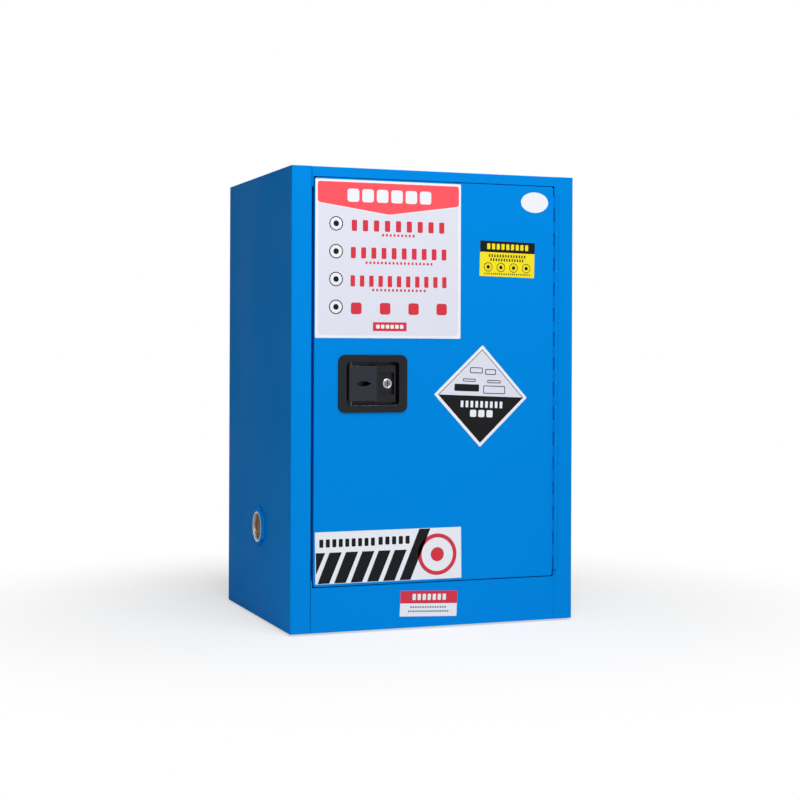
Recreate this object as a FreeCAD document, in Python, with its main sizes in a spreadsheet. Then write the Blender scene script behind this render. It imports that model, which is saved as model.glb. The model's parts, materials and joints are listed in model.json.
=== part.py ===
# Single-door chemical safety cabinet, 45 litre class, as a parametric FreeCAD document.
#
# The cabinet stands on z = 0 with its origin in the middle of its footprint. X runs to the
# right as seen from the front, the door faces -Y and +Z is up. All sizes are in millimetres.
# Sizes is the sheet of driving dimensions; Places holds the planes and centres that follow
# from them, so that each piece is drawn from the same names as its neighbours.
import FreeCAD, Part
import math
import os
import re
import Sketcher
from FreeCAD import Placement, Rotation, Vector

NEAR = 1e-4
ROUND_SIDES = 10

doc = FreeCAD.newDocument("SafetyCabinet")
sheet_of_sizes = doc.addObject("Spreadsheet::Sheet", "Sizes")
places = doc.addObject("App::VarSet", "Places")

# ---------------------------------------------------------------- driving dimensions
SIZES = [
    ("cabinet_wide", 590, "width over the side panels"),
    ("cabinet_deep", 460, "depth from the door face to the back flanges"),
    ("cabinet_tall", 890, "height from the floor to the top"),
    ("sheet", 1.2, "steel sheet of casing, liner and door"),
    ("air_gap", 38, "insulating air space between casing and liner"),
    ("fold_round", 2, "outer radius of a sheet fold"),
    ("jamb_round", 3, "outer radius of the fold from stile to jamb"),
    ("back_flange", 20, "return flange of a side panel at the back"),
    ("tie_flange", 18, "flange that ties top and bottom panel to the sides"),
    ("head_rail", 19, "height of the rail above the door"),
    ("plinth_tall", 85.5, "height of the rail below the door"),
    ("ear_high", 20, "drop of the ears beside the door's upper corners"),
    ("ear_low", 14.5, "rise of the ears beside the door's lower corners"),
    ("ear_air", 2.4, "gap between an ear and the door's edge"),
    ("latch_gap", 5, "gap between door and jamb on the latch side"),
    ("door_gap_high", 1.5, "gap above the door"),
    ("door_gap_low", 2, "gap below the door"),
    ("door_thick", 38, "thickness of the door"),
    ("door_corner", 5, "corner radius of the door in front view"),
    ("door_lip", 4, "flange of the door's inner skin"),
    ("stop_gap", 0.5, "gap between the closed door and its stop"),
    ("stop_reach", 15, "how far the door stop stands into the opening"),
    ("stop_flange", 12, "rear flange of the door stop"),
    ("sump_deep", 55, "depth of the leak-proof sump"),
    ("sump_round", 8, "corner radius of the sump"),
    ("bearer_wide", 40, "crown width of a sump bearer"),
    ("bearer_foot", 15, "foot width of a sump bearer"),
    ("bearer_inset", 120, "sump bearer centre from the cabinet's side"),
    ("foot_stand", 4, "casing above the floor"),
    ("foot_inset_x", 52, "foot centre from the side"),
    ("foot_inset_y", 52, "foot centre from front and back"),
    ("foot_wide", 36, "diameter of a levelling foot"),
    ("foot_air", 0.3, "gap between a raised foot and the casing"),
    ("stud_thick", 10, "diameter of a foot's stud"),
    ("stud_long", 30, "length of a foot's stud above the floor"),
    ("nut_wide", 17, "width across flats of a foot's weld nut"),
    ("nut_tall", 8, "height of a foot's weld nut"),
    ("past", 1, "how far a cut runs past the wall that it goes through"),
    ("edge_break", 1, "small chamfer on turned pieces"),
    ("running_fit", 0.08, "radial clearance of pins, studs and shafts"),
    ("shelf_rise", 430, "underside of the shelf above the sump floor"),
    ("shelf_lip", 25, "height of the shelf's turned-up rim"),
    ("shelf_round", 6, "corner radius of the shelf"),
    ("shelf_air", 2.5, "gap between shelf and standards"),
    ("shelf_setback", 22, "shelf behind the door stop"),
    ("shelf_back_air", 8, "gap between shelf and liner back"),
    ("seat_air", 0.3, "rest gap between pieces of different bodies"),
    ("standard_wide", 20, "width of a shelf standard"),
    ("standard_deep", 6, "depth of a shelf standard's channel"),
    ("standard_inset", 60, "shelf standard centre from the ends of the liner"),
    ("standard_end", 40, "plain end of a shelf standard"),
    ("slot_wide", 4, "width of a clip slot"),
    ("slot_tall", 14, "height of a clip slot"),
    ("slot_pitch", 75, "spacing of the clip slots"),
    ("clip_thick", 1.5, "sheet of a shelf clip"),
    ("clip_wide", 14, "width of a shelf clip"),
    ("clip_tall", 18, "height of a shelf clip"),
    ("clip_reach", 14, "how far a clip stands out under the shelf"),
    ("leaf", 1.5, "sheet of the hinge leaves"),
    ("leaf_air", 0.5, "gap between the closed hinge leaves"),
    ("leaf_deep", 28, "width of a hinge leaf"),
    ("hinge_pin_thick", 4, "diameter of the hinge pin"),
    ("hinge_stand", 0.3, "gap between knuckles and the face of the stile"),
    ("hinge_end_air", 0.4, "gap between the hinge's ends and the ears"),
    ("knuckle_count", 30, "knuckles in the hinge, door and frame together"),
    ("knuckle_air", 0.35, "end gap between two knuckles"),
    ("vent_rise", 182, "vent centre above the casing's foot, and below its top"),
    ("vent_ahead", 15, "vent centre ahead of the middle of the cabinet's depth"),
    ("vent_across", 70.5, "width across flats of the vent's hexagon"),
    ("vent_proud", 6, "thickness of the vent's hexagon"),
    ("vent_pipe", 60.3, "outer diameter of the vent's nipple"),
    ("vent_wall", 2, "wall of the vent's nipple"),
    ("vent_nut_wide", 72, "width across flats of the vent's lock nut"),
    ("vent_nut_thick", 8, "thickness of the vent's lock nut"),
    ("mouth_step", 1.2, "how far the pipe's bore steps in behind the vent's mouth"),
    ("arrester_sink", 5.6, "depth of the flame arrester behind the nipple's mouth"),
    ("arrester_long", 16, "length of the flame arrester"),
    ("earth_rise", 90, "earthing stud above the floor"),
    ("earth_inset", 60, "earthing stud from the back"),
    ("earth_thick", 8, "diameter of the earthing stud"),
    ("earth_long", 16, "length of the earthing stud outside"),
    ("earth_nut", 13, "width across flats of the earthing stud's nuts"),
    ("earth_nut_tall", 6, "height of the earthing stud's nuts"),
    ("washer_wide", 16, "diameter of the earthing stud's washer"),
    ("washer_thick", 1.6, "thickness of the washer"),
    ("latch_inset", 118, "latch centre from the door's free edge"),
    ("latch_rise", 385.4, "latch centre above the door's lower edge"),
    ("tray_wide", 141, "width of the latch tray's flange"),
    ("tray_tall", 110.6, "height of the latch tray's flange"),
    ("tray_corner", 14, "corner radius of the flange"),
    ("tray_proud", 2.5, "thickness of the flange on the door"),
    ("pan_wide", 107, "inner width of the tray's pan"),
    ("pan_tall", 83.6, "inner height of the tray's pan"),
    ("pan_corner", 7, "inner corner radius of the pan"),
    ("pan_deep", 20, "depth of the pan behind the door's face"),
    ("pan_wall", 2, "wall of the pan"),
    ("cutout_air", 0.5, "gap between the pan and the door's cut-out"),
    ("paddle_left", 49.5, "paddle's hinged edge from the latch centre"),
    ("paddle_right", 47.7, "paddle's pull edge from the latch centre"),
    ("paddle_step", 7.6, "step of the paddle from the latch centre"),
    ("paddle_tall", 67, "height of the raised plate"),
    ("paddle_low_tall", 70.6, "height of the lower plate"),
    ("paddle_sink", 0.5, "raised plate behind the flange's face"),
    ("paddle_drop", 4, "lower plate behind the raised plate"),
    ("paddle_plate", 3, "thickness of the paddle's plates"),
    ("paddle_bevel", 3, "bevel of the hinged edge"),
    ("pivot_inset", 43, "pivot pin from the latch centre"),
    ("pivot_thick", 4, "diameter of the pivot pin"),
    ("pivot_wall", 2, "wall of the paddle's pivot barrel"),
    ("tail_thick", 3, "thickness of the paddle's tail"),
    ("tail_tall", 10, "height of the paddle's tail"),
    ("tail_air", 1.6, "clearance of the tail in the centre bolt's slot"),
    ("spring_wire", 1.2, "wire of the paddle's return spring"),
    ("spring_tall", 6, "length of the return spring's coil"),
    ("spring_arm", 14, "reach of the spring's arm behind the raised plate"),
    ("spring_hook", 5, "end of the spring's arm that bears on the plate"),
    ("spring_air", 0.3, "gap between the spring and the paddle"),
    ("tail_swing", 11.2, "room for the tail's swing in the pan's floor"),
    ("padlock_wide", 32, "length of the lens-shaped padlock slot"),
    ("padlock_tall", 10, "height of the padlock slot"),
    ("padlock_inset", 19.2, "padlock slot's centre from the latch centre"),
    ("cup_left", 12.8, "lock cup's left side from the latch centre"),
    ("cup_right", 44.6, "lock cup's right side from the latch centre"),
    ("cup_tall", 42, "height of the lock cup"),
    ("cup_deep", 8, "depth of the lock cup behind the lower plate"),
    ("cup_wall", 2, "wall of the lock cup"),
    ("lock_inset", 33, "lock's centre from the latch centre"),
    ("lock_thick", 16, "diameter of the lock's barrel"),
    ("lock_rim", 20, "diameter of the lock's rim"),
    ("lock_rim_thick", 3, "thickness of the lock's rim"),
    ("plug_thick", 12, "diameter of the key plug"),
    ("plug_neck", 5, "diameter of the plug's neck in the lock cam"),
    ("plug_rivet", 2, "plug's neck behind the lock cam"),
    ("key_slot_wide", 1.6, "width of the key slot"),
    ("key_slot_tall", 8, "height of the key slot"),
    ("key_slot_deep", 6, "depth of the key slot"),
    ("cam_thick", 2, "thickness of the lock cam"),
    ("cam_long", 21, "reach of the lock cam"),
    ("cam_wide", 10, "width of the lock cam"),
    ("window_air", 2.5, "clearance of the lock cam in the pan's window"),
    ("bolt_behind", 0.5, "gap between the pan and the centre bolt"),
    ("bolt_thick", 3, "thickness of the centre bolt"),
    ("bolt_tall", 18, "height of the centre bolt"),
    ("bolt_tab", 20, "width of the centre bolt's driving tab"),
    ("bolt_proud", 3, "bolt's tip beyond the door's edge"),
    ("bolt_air", 1, "clearance of the bolt in its slots"),
    ("rod_proud", 0.8, "rod's tip beyond the door's edge"),
    ("rod_thick", 8, "diameter of the latch rods"),
    ("rod_eye", 18, "width of a rod's flat eye"),
    ("rod_eye_thick", 4, "thickness of a rod's flat eye"),
    ("rod_eye_wall", 3, "eye around its slot"),
    ("rod_strap_wide", 9, "width of the strap between a rod's eye and its round part"),
    ("crank", 20, "radius of the rod cam's pins"),
    ("paddle_swing", 30, "degrees that the paddle and the rod cam turn"),
    ("cam_pin_thick", 5, "diameter of the rod cam's pins"),
    ("rod_cam_thick", 2.5, "thickness of the rod cam"),
    ("rod_cam_air", 0.4, "gap between the rod cam and its neighbours"),
    ("cam_post_thick", 8, "diameter of the rod cam's post"),
    ("post_thick", 8, "width across flats of a housing post"),
    ("post_inset_x", 36, "housing posts from the latch centre, sideways"),
    ("post_inset_z", 30, "housing posts from the latch centre, up and down"),
    ("post_margin", 8, "housing plate around its posts"),
    ("clamp_wide", 70, "length of a tray clamp"),
    ("clamp_reach", 10, "how far a tray clamp overlaps the door's skin"),
    ("guide_tall", 16, "height of a rod guide"),
    ("guide_wide", 20, "width of a rod guide"),
    ("guide_inset", 30, "rod guide's centre from the door's edge"),
    ("strike_thick", 2, "thickness of a strike plate"),
    ("strike_margin", 10, "strike plate around its hole"),
    ("screw_thick", 4, "diameter of a latch screw"),
    ("screw_head", 7.5, "width across flats of a latch screw's head"),
    ("screw_head_tall", 1.8, "height of a latch screw's head"),
    ("screw_long", 8, "length of a latch screw in its post"),
    ("stiffener_wide", 50, "crown width of a door stiffener"),
    ("stiffener_foot", 15, "foot width of a door stiffener"),
    ("stiffener_end", 25, "door stiffener's ends from the door's edges"),
    ("stiffener_inset", 90, "first stiffener's centre from the door's hinged edge"),
    ("stiffener_pitch", 150, "spacing of the door stiffeners"),
]

for row, (name, size, meaning) in enumerate(SIZES, 1):
    sheet_of_sizes.set(f"A{row}", name)
    sheet_of_sizes.set(f"B{row}", str(size))
    sheet_of_sizes.set(f"C{row}", meaning)
    sheet_of_sizes.setAlias(f"B{row}", name)
doc.recompute()

owner_of_name = {name: "Sizes" for name, size, meaning in SIZES}


def bound(formula):
    """The formula as an expression that names the object behind each size and place."""
    def with_owner(found):
        word = found.group(0)
        return f"{owner_of_name[word]}.{word}" if word in owner_of_name else word
    return re.sub(r"[a-z_]+", with_owner, str(formula))


def value(formula):
    """What a formula comes to at the present sizes."""
    return float(places.evalExpression(bound(formula)))


def place(name, formula):
    """Name a plane or centre that follows from the sizes."""
    places.addProperty("App::PropertyFloat", name)
    places.setExpression(name, bound(formula))
    owner_of_name[name] = "Places"
    doc.recompute([places])


# ---------------------------------------------------------------- planes and centres
PLACES = [
    # carcass
    ("half_wide", "cabinet_wide / 2"),
    ("front", "-cabinet_deep / 2"),
    ("back", "cabinet_deep / 2"),
    ("side_face", "half_wide - sheet"),
    ("jamb", "half_wide - sheet * 2 - air_gap"),
    ("head_low", "cabinet_tall - head_rail"),
    ("sill_top", "foot_stand + plinth_tall"),
    ("floor_top", "foot_stand + sheet"),
    ("roof_low", "cabinet_tall - sheet"),
    ("back_plate", "back - sheet * 2"),
    # door
    ("door_left", "latch_gap - jamb"),
    ("door_right", "jamb - leaf * 2 - leaf_air"),
    ("door_low", "sill_top + door_gap_low"),
    ("door_high", "head_low - door_gap_high"),
    ("door_back", "front + door_thick"),
    ("skin_inside", "door_back - sheet"),
    ("stop_face", "door_back + stop_gap"),
    # liner
    ("liner_front", "stop_face + sheet"),
    ("liner_back", "back_plate - air_gap"),
    ("liner_wall", "liner_back - sheet"),
    ("liner_roof", "roof_low - air_gap - sheet"),
    ("sump_low", "floor_top + air_gap"),
    ("sump_floor", "sump_low + sheet"),
    ("sump_high", "sump_floor + sump_deep"),
    ("stop_low", "sill_top + stop_reach"),
    ("stop_high", "liner_roof - stop_reach / 2"),
    # shelf
    ("standard_face", "jamb - standard_deep"),
    ("standard_low", "sump_high + standard_end / 2"),
    ("standard_high", "liner_roof - standard_end / 2"),
    ("slot_low", "standard_low + standard_end"),
    ("standard_fore", "liner_front + standard_inset"),
    ("standard_aft", "liner_wall - standard_inset"),
    ("shelf_low", "sump_floor + shelf_rise"),
    ("clip_top", "shelf_low - seat_air"),
    # hinge
    ("knuckle", "hinge_pin_thick / 2 + running_fit + leaf"),
    ("hinge_x", "jamb - leaf + knuckle"),
    ("hinge_y", "front - knuckle - hinge_stand"),
    ("leaf_front", "front + seat_air"),
    ("hinge_low", "sill_top + ear_low + hinge_end_air"),
    ("hinge_high", "head_low - ear_high - hinge_end_air"),
    ("knuckle_pitch", "(hinge_high - hinge_low) / knuckle_count"),
    # vents, low on the left and high on the right
    ("vent_low", "foot_stand + vent_rise"),
    ("vent_high", "cabinet_tall - vent_rise"),
    ("vent_y", "(front + back) / 2 - vent_ahead"),
    # latch
    ("latch_x", "door_left + latch_inset"),
    ("latch_z", "door_low + latch_rise"),
    ("tray_face", "front - tray_proud"),
    ("pan_floor", "front + pan_deep"),
    ("pan_rear", "pan_floor + pan_wall"),
    ("pan_half_wide", "pan_wide / 2 + pan_wall"),
    ("pan_half_tall", "pan_tall / 2 + pan_wall"),
    ("paddle_face", "tray_face + paddle_sink"),
    ("paddle_under", "paddle_face + paddle_plate"),
    ("lower_face", "paddle_face + paddle_drop"),
    ("lower_under", "lower_face + paddle_plate"),
    ("cup_floor", "lower_face + cup_deep"),
    ("pivot_x", "latch_x - pivot_inset"),
    ("pivot_barrel", "pivot_thick / 2 + running_fit + pivot_wall"),
    ("pivot_y", "paddle_under + pivot_thick / 2 + pivot_wall / 2"),
    ("lock_x", "latch_x + lock_inset"),
    ("cam_face", "pan_rear + seat_air"),
    ("lock_long", "cam_face - cup_floor + lock_rim_thick"),
    ("rim_start", "cam_face - cup_floor"),
    ("bolt_face", "pan_rear + bolt_behind"),
    ("bolt_rear", "bolt_face + bolt_thick"),
    ("rod_face", "bolt_rear + bolt_behind"),
    ("rod_rear", "rod_face + rod_eye_thick"),
    ("rod_y", "(rod_face + rod_rear) / 2"),
    ("rod_cam_face", "rod_rear + rod_cam_air"),
    ("rod_cam_rear", "rod_cam_face + rod_cam_thick"),
    ("housing_face", "rod_cam_rear + rod_cam_air"),
    ("housing_rear", "housing_face + sheet"),
    ("top_rod_x", "latch_x - crank"),
    ("bottom_rod_x", "latch_x + crank"),
    ("pin_slot_half", "cam_pin_thick / 2 + bolt_behind"),
    ("crank_shift", "crank * (1 - cos(paddle_swing * 1deg))"),
    ("rod_stroke", "crank * sin(paddle_swing * 1deg)"),
    ("rod_strap", "crank + cam_pin_thick + rod_stroke + rod_thick + rod_eye_wall"),
]

for name, formula in PLACES:
    place(name, formula)


# ---------------------------------------------------------------- drawing helpers
nodes = []


def body(label):
    """A new sub-part, built by PartDesign features."""
    made = doc.addObject("PartDesign::Body", label)
    made.Label = label
    made.AllowCompound = True
    nodes.append(made)
    return made


def rect(across_low, across_high, up_low, up_high):
    """The corners of a rectangle in a sketch's own two directions."""
    return [
        (across_low, up_low), (across_high, up_low),
        (across_high, up_high), (across_low, up_high),
    ]


def about(centre, half):
    """The two formulas at half a width either side of a centre."""
    return f"{centre} - ({half})", f"{centre} + ({half})"


def hat(centre, crown, foot, seat, top, rise):
    """The corners of a hat section: feet on the seat, crown at the top, open below."""
    left, right = about(centre, f"{crown} / 2")
    return [
        (f"{left} - {foot}", seat), (f"{left} + sheet", seat),
        (f"{left} + sheet", f"{top} - {rise} * sheet"), (f"{right} - sheet", f"{top} - {rise} * sheet"),
        (f"{right} - sheet", seat), (f"{right} + {foot}", seat),
        (f"{right} + {foot}", f"{seat} + {rise} * sheet"), (right, f"{seat} + {rise} * sheet"),
        (right, top), (left, top),
        (left, f"{seat} + {rise} * sheet"), (f"{left} - {foot}", f"{seat} + {rise} * sheet"),
    ]


def tie(sketch, kind, where, formula):
    """Bind one new constraint of a sketch to its formula."""
    number = sketch.addConstraint(Sketcher.Constraint(kind, *where, value(formula)))
    sketch.setExpression(f"Constraints[{number}]", bound(formula))


def draw_polygon(sketch, corners):
    """A closed outline, each corner tied by two formulas."""
    first = sketch.GeometryCount
    spots = [Vector(value(across), value(up), 0) for across, up in corners]
    for here, there in zip(spots, spots[1:] + spots[:1]):
        sketch.addGeometry(Part.LineSegment(here, there), False)
    for index in range(len(corners)):
        follower = (index + 1) % len(corners)
        joint = Sketcher.Constraint("Coincident", first + index, 2, first + follower, 1)
        sketch.addConstraint(joint)
    for index, (across, up) in enumerate(corners):
        tie(sketch, "DistanceX", (-1, 1, first + index, 1), across)
        tie(sketch, "DistanceY", (-1, 1, first + index, 1), up)


def draw_circle(sketch, across, up, radius):
    """A circle with its centre and radius tied by formulas."""
    centre = Vector(value(across), value(up), 0)
    number = sketch.addGeometry(Part.Circle(centre, Vector(0, 0, 1), value(radius)), False)
    tie(sketch, "DistanceX", (-1, 1, number, 3), across)
    tie(sketch, "DistanceY", (-1, 1, number, 3), up)
    tie(sketch, "Radius", (number,), radius)


def sketch_on(owner, plane, level, loops):
    """A sketch on one of the body's own planes, shifted to a level along the plane's normal."""
    sketch = owner.newObject("Sketcher::SketchObject", "Outline")
    role = f"{plane}_Plane"
    support = next(flat for flat in owner.Origin.OriginFeatures if flat.Role == role)
    sketch.AttachmentSupport = [(support, "")]
    sketch.MapMode = "FlatFace"
    sketch.setExpression("AttachmentOffset.Base.z", bound(level))
    for loop in loops:
        if isinstance(loop, tuple):
            draw_circle(sketch, *loop)
        else:
            draw_polygon(sketch, loop)
    return sketch


def prism(owner, plane, loops, low, high, kind="PartDesign::Pad"):
    """Pad, or cut, the loops between two levels; a tuple is a circle, a list a polygon."""
    level = f"-({high})" if plane == "XZ" else low
    feature = owner.newObject(kind, kind.split("::")[1])
    feature.Profile = sketch_on(owner, plane, level, loops)
    feature.setExpression("Length", bound(f"({high}) - ({low})"))
    return feature


def pad(owner, plane, loops, low, high):
    """Add the loops' prism between two levels."""
    feature = prism(owner, plane, loops, low, high)
    doc.recompute()
    return feature


def cut(owner, plane, loops, low, high):
    """Take the loops' prism between two levels away, and make sure that it met the piece."""
    before = owner.Shape.Volume
    feature = prism(owner, plane, loops, low, high, "PartDesign::Pocket")
    feature.Reversed = True
    doc.recompute()
    if owner.Shape.Volume > before - NEAR:
        raise ValueError(f"{feature.Name} in {owner.Label} cuts nothing")
    return feature


def edges_at(owner, axis, spots):
    """Names of the straight edges along X, Y or Z that pass through the given cross places."""
    along = "XYZ".index(axis)
    across, up = [index for index in range(3) if index != along]
    wanted = [(value(one), value(other)) for one, other in spots]
    names = []
    for number, edge in enumerate(owner.Shape.Edges, 1):
        if edge.Curve.TypeId != "Part::GeomLine":
            continue
        if abs(abs(edge.Curve.Direction[along]) - 1) > NEAR:
            continue
        point = edge.Vertexes[0].Point
        if any(abs(point[across] - a) < NEAR and abs(point[up] - b) < NEAR for a, b in wanted):
            names.append(f"Edge{number}")
    if not names:
        raise ValueError(f"no edge to dress in {owner.Label}")
    return names


def dress(owner, radius, axis, spots, kind="PartDesign::Fillet"):
    """Round, or chamfer, the straight edges at the given cross places."""
    base = (owner.Tip, edges_at(owner, axis, spots))
    feature = owner.newObject(kind, kind.split("::")[1])
    feature.Base = base
    feature.setExpression("Size" if kind.endswith("Chamfer") else "Radius", bound(radius))
    doc.recompute()
    return feature


def open_shell(owner, wall, axis, level):
    """Hollow the body to a wall, open at its flat face on the given level."""
    along = "XYZ".index(axis)
    at = value(level)
    faces = []
    for number, face in enumerate(owner.Shape.Faces, 1):
        if all(abs(corner.Point[along] - at) < NEAR for corner in face.Vertexes):
            faces.append(f"Face{number}")
    base = (owner.Tip, faces)
    feature = owner.newObject("PartDesign::Thickness", "Shell")
    feature.Base = base
    feature.setExpression("Value", bound(wall))
    feature.Reversed = True
    doc.recompute()
    return feature


def repeat(owner, features, axis, spacing, count):
    """Copy features along X, Y or Z at a spacing."""
    pattern = owner.newObject("PartDesign::LinearPattern", "Row")
    pattern.Originals = features
    line = next(axle for axle in owner.Origin.OriginFeatures if axle.Role == f"{axis}_Axis")
    pattern.Direction = (line, [""])
    pattern.Occurrences = count
    pattern.setExpression("Length", bound(f"({spacing}) * {count - 1}"))
    owner.Tip = pattern
    doc.recompute()
    return pattern


def shaft(across, up, radius):
    """A small round bar drawn with flats, its corners on the radius."""
    angles = [2 * math.pi * step / ROUND_SIDES for step in range(ROUND_SIDES)]
    return [
        (f"{across} + ({radius}) * {math.cos(angle):.6f}", f"{up} + ({radius}) * {math.sin(angle):.6f}")
        for angle in angles
    ]


def bore_for(across, up, radius):
    """The hole for such a bar: its flats, not its corners, are on the radius."""
    return shaft(across, up, f"({radius}) * {1 / math.cos(math.pi / ROUND_SIDES):.6f}")


FACING = {
    "+X": Rotation(Vector(0, 1, 0), 90),
    "-X": Rotation(Vector(0, 1, 0), -90),
    "+Y": Rotation(Vector(1, 0, 0), -90),
    "-Y": Rotation(Vector(1, 0, 0), 90),
    "+Z": Rotation(),
}


def seat(owner, across, deep, up, facing="+Z"):
    """Put a sub-part that was drawn about its own axis where it belongs."""
    owner.Placement = Placement(Vector(), FACING[facing])
    owner.setExpression("Placement.Base.x", bound(across))
    owner.setExpression("Placement.Base.y", bound(deep))
    owner.setExpression("Placement.Base.z", bound(up))


def turn(owner, corners):
    """Revolve a section of (radius, height) corners about the body's own Z axis."""
    sketch = sketch_on(owner, "XZ", 0, [corners])
    feature = owner.newObject("PartDesign::Revolution", "Turned")
    feature.Profile = sketch
    feature.ReferenceAxis = (sketch, ["V_Axis"])
    feature.Angle = 360
    doc.recompute()
    return feature


def group(label, pieces):
    """Several like pieces under one label."""
    made = doc.addObject("Part::Compound", label)
    made.Label = label
    made.Links = pieces
    nodes.append(made)
    return made


def loose(owner):
    """Take a body off the list of sub-parts because a group carries it."""
    nodes.remove(owner)
    return owner


def mirrored(corners, side):
    """Corners drawn for the right-hand side, or their mirror image for the left."""
    return [(f"{side} * ({across})", up) for across, up in corners]


def span(side, near, far):
    """Two X levels drawn for the right-hand side, in rising order on either side."""
    return (near, far) if side == RIGHT else (f"-({far})", f"-({near})")


LEFT = -1
RIGHT = 1


# ---------------------------------------------------------------- carcass
def side_panel(label, side, vent_z):
    """One sheet folded round from the back flange, along the side and over the stile into the jamb."""
    panel = body(label)
    section = [
        ("half_wide - back_flange", "back"), ("half_wide", "back"),
        ("half_wide", "front"), ("jamb", "front"),
        ("jamb", "stop_face"), ("jamb + sheet", "stop_face"),
        ("jamb + sheet", "front + sheet"), ("side_face", "front + sheet"),
        ("side_face", "back - sheet"), ("half_wide - back_flange", "back - sheet"),
    ]
    pad(panel, "XY", [mirrored(section, side)], "foot_stand", "cabinet_tall")
    dress(panel, "fold_round", "Z", mirrored([("half_wide", "back"), ("half_wide", "front")], side))
    dress(panel, "jamb_round", "Z", mirrored([("jamb", "front")], side))
    inner = [("side_face", "back - sheet"), ("side_face", "front + sheet")]
    dress(panel, "fold_round - sheet", "Z", mirrored(inner, side))
    dress(panel, "jamb_round - sheet", "Z", mirrored([("jamb + sheet", "front + sheet")], side))
    notch = ("jamb - past", "jamb + jamb_round")
    notches = [
        mirrored(rect(*notch, "roof_low", "cabinet_tall + past"), side),
        mirrored(rect(*notch, "foot_stand - past", "floor_top"), side),
    ]
    cut(panel, "XZ", notches, "front + sheet", "stop_face + past")
    low, high = span(side, "side_face - past", "half_wide + past")
    cut(panel, "YZ", [("vent_y", vent_z, "vent_pipe / 2")], low, high)
    return panel


def bolt_slot(owner, low, high):
    """The slot that the centre bolt passes through, in a wall between two X levels."""
    tall = about("latch_z", "bolt_tall / 2 + bolt_air")
    opening = rect("bolt_face - bolt_air", "bolt_rear + bolt_air", *tall)
    cut(owner, "YZ", [opening], low, high)


def rod_hole(owner, rod_x, low, high):
    """The round hole that a latch rod passes through, in a wall between two Z levels."""
    cut(owner, "XY", [bore_for(rod_x, "rod_y", "rod_thick / 2 + bolt_air")], low, high)


def face_with_ears(edge_far, edge_near, ear_tip):
    """The front of a rail between the jambs, with an ear beside each corner of the door."""
    left_ear = "latch_gap - ear_air - jamb"
    right_ear = "door_right + ear_air"
    return [
        ("-jamb", edge_far), ("jamb", edge_far), ("jamb", ear_tip), (right_ear, ear_tip),
        (right_ear, edge_near), (left_ear, edge_near), (left_ear, ear_tip), ("-jamb", ear_tip),
    ]


left_panel = side_panel("side_panel_left", LEFT, "vent_low")
bolt_slot(left_panel, "-jamb - sheet - past", "past - jamb")
right_panel = side_panel("side_panel_right", RIGHT, "vent_high")
earth_hole = bore_for("back - earth_inset", "earth_rise", "earth_thick / 2")
cut(right_panel, "YZ", [earth_hole], "side_face - past", "half_wide + past")

top_panel = body("top_panel")
plate = rect("-side_face", "side_face", "front + sheet", "back - sheet")
pad(top_panel, "XY", [plate], "roof_low", "cabinet_tall")
plate_corners = [
    ("-side_face", "front + sheet"), ("side_face", "front + sheet"),
    ("-side_face", "back - sheet"), ("side_face", "back - sheet"),
]
dress(top_panel, "fold_round - sheet", "Z", plate_corners)
header = face_with_ears("cabinet_tall", "head_low", "head_low - ear_high")
pad(top_panel, "XZ", [header], "front", "front + sheet")
dress(top_panel, "fold_round", "X", [("front", "cabinet_tall")])
pad(top_panel, "YZ", [rect("front + sheet", "stop_face", "head_low", "head_low + sheet")], "-jamb", "jamb")
for side in (LEFT, RIGHT):
    flange = rect("liner_front", "back_plate", "roof_low - tie_flange", "roof_low")
    pad(top_panel, "YZ", [flange], *span(side, "side_face - sheet", "side_face"))
rod_hole(top_panel, "top_rod_x", "head_low - past", "head_low + sheet + past")

bottom_panel = body("bottom_panel")
pad(bottom_panel, "XY", [plate], "foot_stand", "floor_top")
dress(bottom_panel, "fold_round - sheet", "Z", plate_corners)
for side in (LEFT, RIGHT):
    flange = rect("liner_front", "back_plate", "floor_top", "floor_top + tie_flange")
    pad(bottom_panel, "YZ", [flange], *span(side, "side_face - sheet", "side_face"))
foot_spots = [
    (f"{across} * (half_wide - foot_inset_x)", f"{deep} * (back - foot_inset_y)")
    for deep in (-1, 1) for across in (-1, 1)
]
stud_holes = [bore_for(across, deep, "stud_thick / 2 + running_fit") for across, deep in foot_spots]
cut(bottom_panel, "XY", stud_holes, "foot_stand - past", "floor_top + past")

back_panel = body("back_panel")
back_reach = "side_face - fold_round"
back_plan = rect(f"-({back_reach})", back_reach, "floor_top", "roof_low")
pad(back_panel, "XZ", [back_plan], "back_plate", "back - sheet")

plinth = body("plinth_rail")
pad(plinth, "XZ", [face_with_ears("foot_stand", "sill_top", "sill_top + ear_low")], "front", "front + sheet")
pad(plinth, "YZ", [rect("front + sheet", "stop_face", "sill_top - sheet", "sill_top")], "-jamb", "jamb")
rod_hole(plinth, "bottom_rod_x", "sill_top - sheet - past", "sill_top + past")

door_stop = body("door_stop")
stop_opening = rect("stop_reach - jamb", "jamb - stop_reach", "stop_low", "stop_high")
stop_outside = rect("-jamb - sheet", "jamb + sheet", "sill_top - sheet", "head_low + sheet")
pad(door_stop, "XZ", [stop_outside, stop_opening], "stop_face", "liner_front")
stop_return = rect(
    "stop_reach - jamb - sheet", "jamb - stop_reach + sheet", "stop_low - sheet", "stop_high + sheet",
)
pad(door_stop, "XZ", [stop_return, stop_opening], "liner_front", "liner_front + stop_flange")

# ---------------------------------------------------------------- liner
for label, side, vent_z in (("liner_left", LEFT, "vent_low"), ("liner_right", RIGHT, "vent_high")):
    liner_side = body(label)
    wall = rect("liner_front", "liner_back", "sump_low", "liner_roof")
    pad(liner_side, "YZ", [wall], *span(side, "jamb", "jamb + sheet"))
    vent_hole = ("vent_y", vent_z, "vent_pipe / 2")
    cut(liner_side, "YZ", [vent_hole], *span(side, "jamb - past", "jamb + sheet + past"))

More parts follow.
